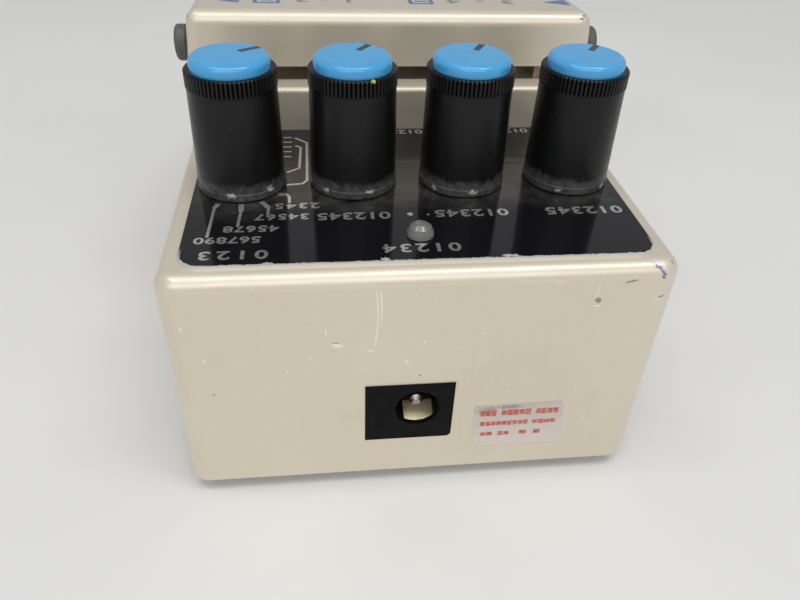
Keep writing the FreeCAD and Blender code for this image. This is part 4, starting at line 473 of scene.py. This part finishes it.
def boards():
    """Green lacquer with paler tracks that stand out a little."""
    made = Finish("green board", (0.018, 0.11, 0.055), 0.34)
    tracks = made.cells(1.9, "DISTANCE_TO_EDGE").outputs["Distance"]
    lines = made.ramp(tracks, 0.10, 0.14, 1.0, 0.0)
    made.colour_from(made.blend(lines, (0.014, 0.095, 0.047), (0.035, 0.19, 0.09)))
    made.bump(lines, 0.03)
    made.use("control_board", "main_board", "jack_board")


def lamp():
    """Milky grey dome with a paler foot."""
    made = Finish("lamp lens", (0.18, 0.178, 0.170), 0.09)
    grey = made.patchy((0.145, 0.143, 0.138), (0.172, 0.169, 0.160), 0.9, 0.35, 0.7)
    foot = made.ramp(made.axis(2), PLATE_TOP + 0.05, PLATE_TOP + 0.45, 0.7, 0.0)
    made.colour_from(made.blend(foot, grey, (0.34, 0.33, 0.29)))
    made.patchy_rough(0.8, 3, 0.06, 0.12)
    made.use("indicator_lamp")


# Width of the copper band at the battery's end, in mm
BATTERY_BAND = 9.55


def battery_skin():
    """A dark jacket with a copper band at one end."""
    made = Finish("battery jacket", (0.05, 0.055, 0.06), 0.30, Coat_Weight=0.3)
    edge = corner("battery", 0, True) - BATTERY_BAND
    band = made.ramp(made.axis(0), edge - 0.05, edge + 0.05)
    made.colour_from(made.blend(band, (0.035, 0.038, 0.042), (0.60, 0.38, 0.12)))
    made.metal_from(made.times(band, 0.9))
    made.patchy_rough(2, 4, 0.24, 0.38)
    made.use("battery")


def lead_wires():
    """Two soft wires, red and black, told apart by their side."""
    made = Finish("wire sleeve", (0.42, 0.018, 0.014), 0.40)
    middle = (corner("snap_lead", 0, False) + corner("snap_lead", 0, True)) / 2
    black = made.ramp(made.axis(0), middle - 0.01, middle + 0.01)
    made.colour_from(made.blend(black, (0.42, 0.018, 0.014), (0.014, 0.014, 0.014)))
    made.patchy_rough(1.2, 3, 0.34, 0.48)
    made.use("snap_lead")


# From the screws' outer sides in to the middle of a head, in mm
SCREW_HEAD = 2.8


def screw_steel():
    """Plated screws with a cross recess in each head, the recess coloured near black as painted shade."""
    made = Finish("screw steel", (0.58, 0.57, 0.54), 0.28, 1.0)
    low_corner, high_corner = (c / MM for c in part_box("base_screws"))
    across = made.absolute(made.absolute(made.axis(0)), high_corner.x - SCREW_HEAD)
    middle = (low_corner.y + high_corner.y) / 2
    half_long = (high_corner.y - low_corner.y) / 2 - SCREW_HEAD
    along = made.absolute(made.absolute(made.axis(1), middle), half_long)
    arm = made.ramp(made.math("MINIMUM", across, along), 0.30, 0.38, 1.0, 0.0)
    reach = made.ramp(made.math("MAXIMUM", across, along), 1.55, 1.70, 1.0, 0.0)
    cross = made.times(arm, reach)
    steel = made.patchy((0.58, 0.57, 0.54), (0.40, 0.39, 0.36), 0.8, 0.4, 0.7)
    # The recess is coloured near black: painted shade inside it
    made.colour_from(made.blend(cross, steel, (0.05, 0.05, 0.05)))
    made.patchy_rough(0.3, 3, 0.22, 0.38)
    made.bump(cross, -0.5)
    made.use("base_screws")


def finish_nodes():
    cream_paint()
    black_plate()
    knob_black()
    cap_blue()
    rubber()
    boards()
    lamp()
    battery_skin()
    lead_wires()
    screw_steel()
    moulded("socket black", (0.0030, 0.0030, 0.0033), 0.55, ["power_socket"], shine=0.10)
    moulded("jack black", (0.010, 0.010, 0.0105), 0.45,
            ["left_rear_jack", "left_front_jack", "right_rear_jack", "right_front_jack"], shine=0.3)
    moulded("bush grey", (0.085, 0.083, 0.070), 0.50, ["left_hinge_bush", "right_hinge_bush"], shine=0.4)
    moulded("black nylon", (0.030, 0.030, 0.028), 0.50,
            ["guide_bush", "switch_plunger", "push_switch", "switch_stem", "thumbscrew_washer",
             "board_spacers", "snap_connector"])
    moulded("chip black", (0.020, 0.020, 0.021), 0.42, ["board_chips", "board_header"])
    moulded("can sleeve", (0.020, 0.026, 0.070), 0.28, ["board_capacitors"])
    moulded("grey foam", (0.085, 0.085, 0.088), 0.85, ["battery_foam"], grain=0.6, depth=0.12)
    moulded("film", (0.62, 0.61, 0.56), 0.30, ["insulating_sheet"])
    plated("plated steel", (0.60, 0.585, 0.55), 0.30,
           ["base_plate", "control_nuts", "hinge_shaft", "lamp_legs"])
    plated("pot case", (0.48, 0.475, 0.455), 0.36, ["mode_switch", "time_pot", "feedback_pot", "level_pot"])
    plated("nickel", (0.70, 0.67, 0.61), 0.16, ["battery_snaps"])
    plated("dull pin", (0.36, 0.35, 0.33), 0.30, ["power_pin"])
    plated("gilt leaf", (0.78, 0.66, 0.42), 0.38, ["power_leaf"])
    plated("brass contact", (0.72, 0.52, 0.20), 0.24, ["jack_tip_contacts", "jack_sleeve_contacts"])
    plated("brass shaft", (0.66, 0.50, 0.24), 0.26, [f"{name}_shaft" for name in KNOBS])
    plated("black screw", (0.055, 0.053, 0.050), 0.40, ["thumbscrew"])


def mesh_from(build, name):
    """A mesh of what was built."""
    mesh = bpy.data.meshes.new(name)
    build.to_mesh(mesh)
    build.free()
    return mesh


def skin(build, rows, closed=False):
    """Faces from each ring of four points to the next, with flat ends unless it is closed."""
    for first, second in zip(rows, rows[1:] + rows[:1] if closed else rows[1:]):
        for k in range(4):
            build.faces.new((first[k], first[(k + 1) % 4], second[(k + 1) % 4], second[k]))
    if not closed:
        build.faces.new(rows[0])
        build.faces.new(rows[-1])
    bmesh.ops.recalc_face_normals(build, faces=build.faces)


def link_mesh(name, mesh, material, body):
    mesh.materials.clear()
    mesh.materials.append(material)
    piece = bpy.data.objects.new(name, mesh)
    bpy.context.scene.collection.objects.link(piece)
    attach(piece, body)
    return piece


# Print on the plate and the treadle: generic numbers and lines, read from the treadle's side.
# Its thickness in mm, how much wider the letters are made, and how much their strokes are thickened
PRINT_THICK = 0.03
LETTER_STRETCH = 1.35
HEAVY = 0.022
# Where the rays that find the surface under a print start, in metres
RAY_START = 0.2


def letters_mesh(words, spacing):
    """Flat letters of the built-in font, centred, as a mesh."""
    curve = bpy.data.curves.new("print", "FONT")
    curve.body = words
    curve.align_x = "CENTER"
    curve.align_y = "CENTER"
    curve.offset = HEAVY
    curve.space_character = spacing
    curve.resolution_u = 4
    curve.extrude = 0.01
    letters = bpy.data.objects.new("print", curve)
    bpy.context.scene.collection.objects.link(letters)
    bpy.context.view_layer.update()
    mesh = bpy.data.meshes.new_from_object(letters)
    bpy.data.objects.remove(letters)
    points = [v.co for v in mesh.vertices]
    low = Vector([min(p[i] for p in points) for i in range(3)])
    high = Vector([max(p[i] for p in points) for i in range(3)])
    return mesh, low, high


def text_mesh(words, middle, wide, tall):
    """Wide bold letters of that height, spaced out to that width in mm, to be read from +Y."""
    widths = []
    for spacing in (1.0, 2.0):
        mesh, low, high = letters_mesh(words, spacing)
        widths.append((high.x - low.x) * LETTER_STRETCH * tall / (high.y - low.y))
    mesh, low, high = letters_mesh(words, 1.0 + (wide - widths[0]) / (widths[1] - widths[0]))
    size = tall / (high.y - low.y)
    centre = (low + high) / 2
    for v in mesh.vertices:
        v.co = Vector((middle[0] - (v.co.x - centre.x) * size * LETTER_STRETCH,
                       middle[1] - (v.co.y - centre.y) * size,
                       middle[2] + (0.5 + (v.co.z - centre.z) / (high.z - low.z)) * PRINT_THICK)) * MM
    return mesh


def strip_mesh(points, height, wide, closed=False):
    """A flat line through points on a level face, with mitred corners."""
    mesh_points = [Vector(p) for p in points]
    count = len(mesh_points)
    build = bmesh.new()
    rows = []
    for i, p in enumerate(mesh_points):
        before = (p - mesh_points[i - 1]).normalized() if i or closed else None
        last = i == count - 1 and not closed
        after = None if last else (mesh_points[(i + 1) % count] - p).normalized()
        along = ((before or after) + (after or before)).normalized()
        side = Vector((-along.y, along.x)) * wide / 2
        mitre = 1 / max(0.5, along.dot(before or after))
        row = []
        for shift, lift in ((side, 0), (-side, 0), (-side, PRINT_THICK), (side, PRINT_THICK)):
            q = p + shift * mitre
            row.append(build.verts.new(Vector((q.x, q.y, height + lift)) * MM))
        rows.append(row)
    skin(build, rows, closed)
    return mesh_from(build, "line")


def outline_mesh(points, thick=PRINT_THICK):
    """A flat closed shape through points across and along, from height 0 to its thickness."""
    build = bmesh.new()
    low = [build.verts.new(Vector((x, y, 0)) * MM) for x, y in points]
    high = [build.verts.new(Vector((x, y, thick)) * MM) for x, y in points]
    build.faces.new(low)
    build.faces.new(high)
    for i in range(len(points)):
        after = (i + 1) % len(points)
        build.faces.new((low[i], low[after], high[after], high[i]))
    bmesh.ops.recalc_face_normals(build, faces=build.faces)
    return mesh_from(build, "shape")


def lay_on(mesh, node):
    """Lower each point of a flat mesh onto the node's top, keeping its height above 0."""
    top = BVHTree.FromObject(NODES[node], bpy.context.evaluated_depsgraph_get())
    for v in mesh.vertices:
        hit = top.ray_cast(Vector((v.co.x, v.co.y, RAY_START)), Vector((0, 0, -1)))[0]
        v.co.z += hit.z
    return mesh


def stand_on_rear(mesh, lift):
    """Stand a flat mesh on the casing's rear face: its Y goes up, its height outwards."""
    rear = BVHTree.FromObject(NODES["casing"], bpy.context.evaluated_depsgraph_get())
    for v in mesh.vertices:
        hit = rear.ray_cast(Vector((v.co.x, -RAY_START, v.co.y)), Vector((0, 1, 0)))[0]
        v.co = Vector((v.co.x, hit.y - v.co.z - lift * MM, v.co.y))
    build = bmesh.new()
    build.from_mesh(mesh)
    bmesh.ops.recalc_face_normals(build, faces=build.faces)
    build.to_mesh(mesh)
    build.free()
    return mesh


def merged(meshes):
    build = bmesh.new()
    for mesh in meshes:
        build.from_mesh(mesh)
    return mesh_from(build, "merged")


# Words: text, middle across, place from the rear face, width, height
PLATE_WORDS = (
    ("012345", 25.0, 14.7, 11.6, 2.0),
    ("012345", 8.2, 14.7, 10.8, 1.9),
    ("012345", -8.8, 14.6, 10.4, 1.9),
    ("0123", -24.9, 5.5, 8.9, 2.0),
    ("567890", -26.0, 9.1, 8.8, 1.6),
    ("45678", -23.0, 11.8, 7.6, 1.6),
    ("34567", -19.0, 14.8, 7.6, 1.6),
    ("2345", -16.8, 17.8, 6.4, 1.6),
    ("01234", -0.2, 6.0, 10.6, 2.0),
    ("0123456", -0.3, 42.6, 10.0, 1.6),
    ("0123456", 18.6, 42.6, 10.0, 1.6),
)
# Leader lines from the selector to its numbers: a thick head, then a thin tail
LEADERS = (
    ((-28.07, 18.8), (-28.5, 17.7), (-28.72, 9.9)),
    ((-24.8, 18.6), (-24.7, 16.6), (-24.9, 12.4)),
    ((-22.0, 19.2), (-20.9, 17.4), (-20.9, 15.3)),
    ((-19.7, 21.3), (-18.4, 21.2), (-18.0, 20.4), (-17.95, 18.3)),
)
BRACKETS = (
    ((-17.4, 40.6), (-15.4, 38.7), (-15.4, 25.4), (-16.1, 24.4), (-18.6, 24.1)),
    ((-17.3, 37.6), (-16.4, 36.9), (-16.6, 29.5), (-18.5, 28.1)),
)
HEAD_WIDE = 0.75
TAIL_WIDE = 0.42
BAR_PLACES = (33.6, 35.4, 37.2, 39.0, 40.8)
BAR_ENDS = (-19.3, -17.9)
# Dots: across, place from the rear face, radius
DOTS = ((-0.8, 14.7, 0.42), (1.8, 14.5, 0.24))
DOT_CORNERS = 16


def plate_print():
    made = Finish("bare print", (0.60, 0.59, 0.56), 0.16, 0.75)
    made.colour_from(made.patchy((0.62, 0.61, 0.59), (0.26, 0.26, 0.25), 0.5, 0.50, 0.80))
    made.patchy_rough(0.7, 4, 0.10, 0.24)
    meshes = [text_mesh(words, (x, REAR + place, PLATE_TOP), wide, tall)
              for words, x, place, wide, tall in PLATE_WORDS]

    def line(points, wide):
        meshes.append(strip_mesh([(x, REAR + place) for x, place in points], PLATE_TOP, wide))

    for points in LEADERS:
        line(points[:2], HEAD_WIDE)
        line(points[1:], TAIL_WIDE)
    for points in BRACKETS:
        line(points, TAIL_WIDE)
    for place in BAR_PLACES:
        line([(end, place) for end in BAR_ENDS], TAIL_WIDE)
    for x, place, radius in DOTS:
        turns = [2 * math.pi * k / DOT_CORNERS for k in range(DOT_CORNERS)]
        round_points = [(x + radius * math.cos(turn), REAR + place + radius * math.sin(turn))
                        for turn in turns]
        meshes.append(lay_on(outline_mesh(round_points), "name_plate"))
    link_mesh("plate_print", merged(meshes), made.material, "casing")


# Marks on the treadle's shoulder, from the rear face: plain arrows, squares and numbers
MARK_LOW = 55.0
MARK_HIGH = 59.4
MARK_LINE = 0.7
ARROWS = ((-26.0, -30.5), (32.0, 27.5))
SQUARES = ((-23.7, -19.1), (3.1, 7.5))
DASH_HALF_LONG = 1.1
# Numbers: text, middle across, width
MARK_WORDS = (("1-2", -11.8, 9.6), ("3-4", 16.0, 12.0))
MARK_WORDS_TALL = 2.8


def treadle_marks():
    blue = Finish("mark blue", (0.045, 0.115, 0.30), 0.36)
    blue.colour_from(blue.patchy((0.045, 0.115, 0.30), (0.20, 0.27, 0.38), 0.8, 0.45, 0.75))
    blue.patchy_rough(1.0, 3, 0.28, 0.42)
    grey = Finish("mark grey", (0.20, 0.20, 0.20), 0.40)
    grey.colour_from(grey.patchy((0.17, 0.17, 0.17), (0.40, 0.38, 0.33), 0.6, 0.45, 0.75))
    grey.patchy_rough(1.0, 3, 0.32, 0.46)
    low, high = REAR + MARK_LOW, REAR + MARK_HIGH
    middle = (low + high) / 2
    shapes = []
    for base, tip in ARROWS:
        shapes.append(outline_mesh(((base, low), (base, high), (tip, middle))))
    for left, right in SQUARES:
        inner = (right - left - MARK_LINE) / 2
        centre = (left + right) / 2
        square = [(centre - inner, middle - inner), (centre + inner, middle - inner),
                  (centre + inner, middle + inner), (centre - inner, middle + inner)]
        shapes.append(strip_mesh(square, 0, MARK_LINE, closed=True))
        dash = ((centre - DASH_HALF_LONG, middle), (centre + DASH_HALF_LONG, middle))
        shapes.append(strip_mesh(dash, 0, MARK_LINE))
    for shape in shapes:
        lay_on(shape, "treadle")
    link_mesh("treadle_arrows", merged(shapes), blue.material, "treadle")
    numbers = [lay_on(text_mesh(words, (x, middle, 0), wide, MARK_WORDS_TALL), "treadle")
               for words, x, wide in MARK_WORDS]
    link_mesh("treadle_numbers", merged(numbers), grey.material, "treadle")


# Plain sticker on the rear face: its corners, then rows of bars, each a height, how tall, and ends
STICKER = ((8.3, 15.7), (22.1, 16.0), (23.2, 7.0), (9.0, 6.9))
STICKER_ROUND = 0.7
STICKER_THICK = 0.045
BAR_THICK = 0.008
BAR_ROWS = (
    (14.0, 1.35, ((9.4, 12.0), (12.7, 17.4), (18.1, 21.7))),
    (11.75, 1.00, ((9.6, 17.2), (17.8, 21.6))),
    (9.5, 0.95, ((9.8, 11.8), (12.6, 14.5), (16.0, 17.3), (18.3, 19.5))),
)
BLOCK_WIDE = 0.78
BLOCK_GAP = 0.10
SMUDGES = (((10.6, REAR, 14.6), (1.3, 3, 0.7)), ((14.0, REAR, 15.2), (1.6, 3, 0.35)))


def rounded_points(corners, radius, steps=4):
    """The corners of an outline, each cut round by a short curve."""
    points = []
    spots = [Vector(c) for c in corners]
    for i, spot in enumerate(spots):
        before = (spots[i - 1] - spot).normalized() * radius
        after = (spots[(i + 1) % len(spots)] - spot).normalized() * radius
        for step in range(steps + 1):
            t = step / steps
            points.append(tuple(spot + before * (1 - t) ** 2 + after * t ** 2))
    return points


def sticker():
    made = Finish("sticker foil", (0.66, 0.60, 0.55), 0.36, 0.25)
    height = made.axis(2)
    # The foil darkens towards its top: painted shade from how light falls on the rear face; smudges are
    # added after
    foil_with_painted_shade = made.blend(made.ramp(height, 8.0, 16.5), (0.68, 0.61, 0.56), (0.50, 0.46, 0.43))
    smudge = made.most([made.spot(middle, half_size, ragged=0.6) for middle, half_size in SMUDGES])
    foil_with_painted_shade = made.blend(made.times(smudge, 0.5), foil_with_painted_shade, (0.12, 0.11, 0.10))
    cloud = made.ramp(made.noise(2.0, 4), 0.4, 0.7, 0.0, 0.35)
    made.colour_from(made.blend(cloud, foil_with_painted_shade, (0.70, 0.62, 0.56)))
    made.patchy_rough(1.2, 4, 0.28, 0.44)
    made.bump(made.noise(3.0, 3), 0.03)
    outline = rounded_points(STICKER, STICKER_ROUND)
    link_mesh("plain_sticker", stand_on_rear(outline_mesh(outline, STICKER_THICK), 0), made.material,
              "casing")
    red = Finish("sticker red", (0.50, 0.085, 0.055), 0.40)
    red.colour_from(red.patchy((0.50, 0.085, 0.055), (0.56, 0.30, 0.24), 0.5, 0.45, 0.75))
    red.patchy_rough(0.8, 3, 0.34, 0.46)
    blocks = []
    for level, tall, bars in BAR_ROWS:
        for left, right in bars:
            count = round((right - left) / (BLOCK_WIDE + BLOCK_GAP))
            pitch = (right - left) / count
            for k in range(count):
                start = left + pitch * k
                short = tall * random.uniform(0.78, 1.0) / 2
                corners = ((start, level - short), (start + pitch - BLOCK_GAP, level - short),
                           (start + pitch - BLOCK_GAP, level + short), (start, level + short))
                blocks.append(stand_on_rear(outline_mesh(corners, BAR_THICK), STICKER_THICK))
    link_mesh("sticker_bars", merged(blocks), red.material, "casing")


# Coil spring: radius of its wire in mm, turns, and steps in a turn
SPRING_WIRE = 0.55
SPRING_TURNS = 7
SPRING_STEPS = 40


def spring():
    """The coil spring under the treadle, closed at both ends, made at one fixed height."""
    low_corner, high_corner = (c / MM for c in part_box("treadle_spring"))
    middle = (low_corner + high_corner) / 2
    radius = (high_corner.x - low_corner.x) / 2 - SPRING_WIRE
    low, high = low_corner.z + SPRING_WIRE, high_corner.z - SPRING_WIRE
    end_pitch = 3 * SPRING_WIRE
    pitch = (high - low - 2 * end_pitch) / (SPRING_TURNS - 2)
    curve = bpy.data.curves.new("spring", "CURVE")
    curve.dimensions = "3D"
    curve.bevel_depth = SPRING_WIRE * MM
    curve.bevel_resolution = 3
    curve.use_fill_caps = True
    line = curve.splines.new("POLY")
    line.points.add(SPRING_TURNS * SPRING_STEPS)
    for i, point in enumerate(line.points):
        turned = i / SPRING_STEPS
        if turned <= 1:
            z = low + end_pitch * turned
        elif turned >= SPRING_TURNS - 1:
            z = high - end_pitch * (SPRING_TURNS - turned)
        else:
            z = low + end_pitch + pitch * (turned - 1)
        angle = 2 * math.pi * turned
        spot = Vector((middle.x + radius * math.cos(angle), middle.y + radius * math.sin(angle), z)) * MM
        point.co = (*spot, 1)
    holder = bpy.data.objects.new("coil", curve)
    bpy.context.scene.collection.objects.link(holder)
    bpy.context.view_layer.update()
    mesh = bpy.data.meshes.new_from_object(holder)
    bpy.data.objects.remove(holder)
    for face in mesh.polygons:
        face.use_smooth = True
    steel = plated("spring steel", (0.52, 0.515, 0.50), 0.26, [])
    coil = link_mesh("coil_spring", mesh, steel.material, "casing")
    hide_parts("treadle_spring")
    # At the end of the stroke 0.958 of its height is left
    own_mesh(coil)


# Pointer bars: turn of each in degrees, then in mm where they start from the knob's middle, their
# steps and half-width, how far they stand out of the cap and reach into it, and how far above the
# caps the rays start that find the surface
POINTER_TURNS = {"mode": 37.0, "time": 58.0, "feedback": 62.0, "level": 56.0}
POINTER_START = 1.6
POINTER_STEP = 0.29
POINTER_STEPS = 12
POINTER_HALF_WIDE = 0.46
POINTER_LIFT = 0.02
POINTER_SUNK = 0.05
POINTER_RAY = 5


def pointer_lines():
    """A thin dark bar from near the middle to the edge of each cap, set a little into it."""
    made = Finish("pointer", (0.020, 0.028, 0.036), 0.40)
    made.colour_from(made.patchy((0.016, 0.022, 0.03), (0.05, 0.09, 0.13), 0.6, 0.4, 0.7, 3))
    edges = ((1, POINTER_LIFT), (-1, POINTER_LIFT), (-1, -POINTER_SUNK), (1, -POINTER_SUNK))
    for knob, turn in POINTER_TURNS.items():
        middle = knob_middle(knob)
        way = Vector((math.cos(math.radians(turn)), math.sin(math.radians(turn))))
        top = BVHTree.FromObject(NODES[f"{knob}_cap"], bpy.context.evaluated_depsgraph_get())
        rows = []
        build = bmesh.new()
        for step in range(POINTER_STEPS + 1):
            reach = POINTER_START + step * POINTER_STEP
            side = Vector((-way.y, way.x)) * POINTER_HALF_WIDE
            row = []
            for sign, lift in edges:
                spot = Vector((middle.x, middle.y)) + way * reach + side * sign
                above = Vector((spot.x, spot.y, CAP_TOP + POINTER_RAY)) * MM
                hit = top.ray_cast(above, Vector((0, 0, -1)))[0]
                row.append(build.verts.new(hit + Vector((0, 0, lift * MM))))
            rows.append(row)
        skin(build, rows)
        mesh = mesh_from(build, "pointer")
        link_mesh(f"{knob}_pointer", mesh, made.material, f"{knob}_knob")


# Lamps: name, place and size in metres, power in watts, turned to face the part or straight down
LAMPS = (
    ("front_lamp", (-0.1, -0.95, 0.75), (1.5, 0.55), 5.0, True),
    ("top_lamp", (0.1, -0.3, 1.1), (1.2, 0.5), 4.9, False),
    ("left_strip", (-0.55, 0.0, 1.2), (0.4, 0.08), 1.0, False),
    ("right_strip", (0.42, -0.25, 1.15), (0.4, 0.08), 1.0, False),
)
# Half the floor's width in metres, and the light from all round
FLOOR_HALF = 4.0
WORLD_COLOUR = (0.80, 0.81, 0.83, 1)
WORLD_LEVEL = 0.50


def floor_and_light():
    made = Finish("floor", (0.74, 0.735, 0.715), 0.55)
    made.colour_from(made.patchy((0.755, 0.750, 0.730), (0.725, 0.720, 0.700), 90, 0.35, 0.7))
    build = bmesh.new()
    bmesh.ops.create_grid(build, x_segments=1, y_segments=1, size=FLOOR_HALF)
    mesh = mesh_from(build, "floor")
    mesh.materials.append(made.material)
    floor = bpy.data.objects.new("floor", mesh)
    bpy.context.scene.collection.objects.link(floor)

    for name, place, size, power, aimed in LAMPS:
        data = bpy.data.lights.new(name, "AREA")
        data.shape = "RECTANGLE"
        data.size, data.size_y = size
        data.energy = power
        light = bpy.data.objects.new(name, data)
        light.location = place
        if aimed:
            light.rotation_euler = Vector(place).to_track_quat("Z", "Y").to_euler()
        bpy.context.scene.collection.objects.link(light)

    world = bpy.data.worlds.new("world")
    world.use_nodes = True
    background = world.node_tree.nodes["Background"]
    background.inputs["Color"].default_value = WORLD_COLOUR
    background.inputs["Strength"].default_value = WORLD_LEVEL
    bpy.context.scene.world = world
    bpy.context.scene.view_settings.view_transform = "Standard"


add_camera()
finish_nodes()
plate_print()
treadle_marks()
sticker()
pointer_lines()
spring()
floor_and_light()
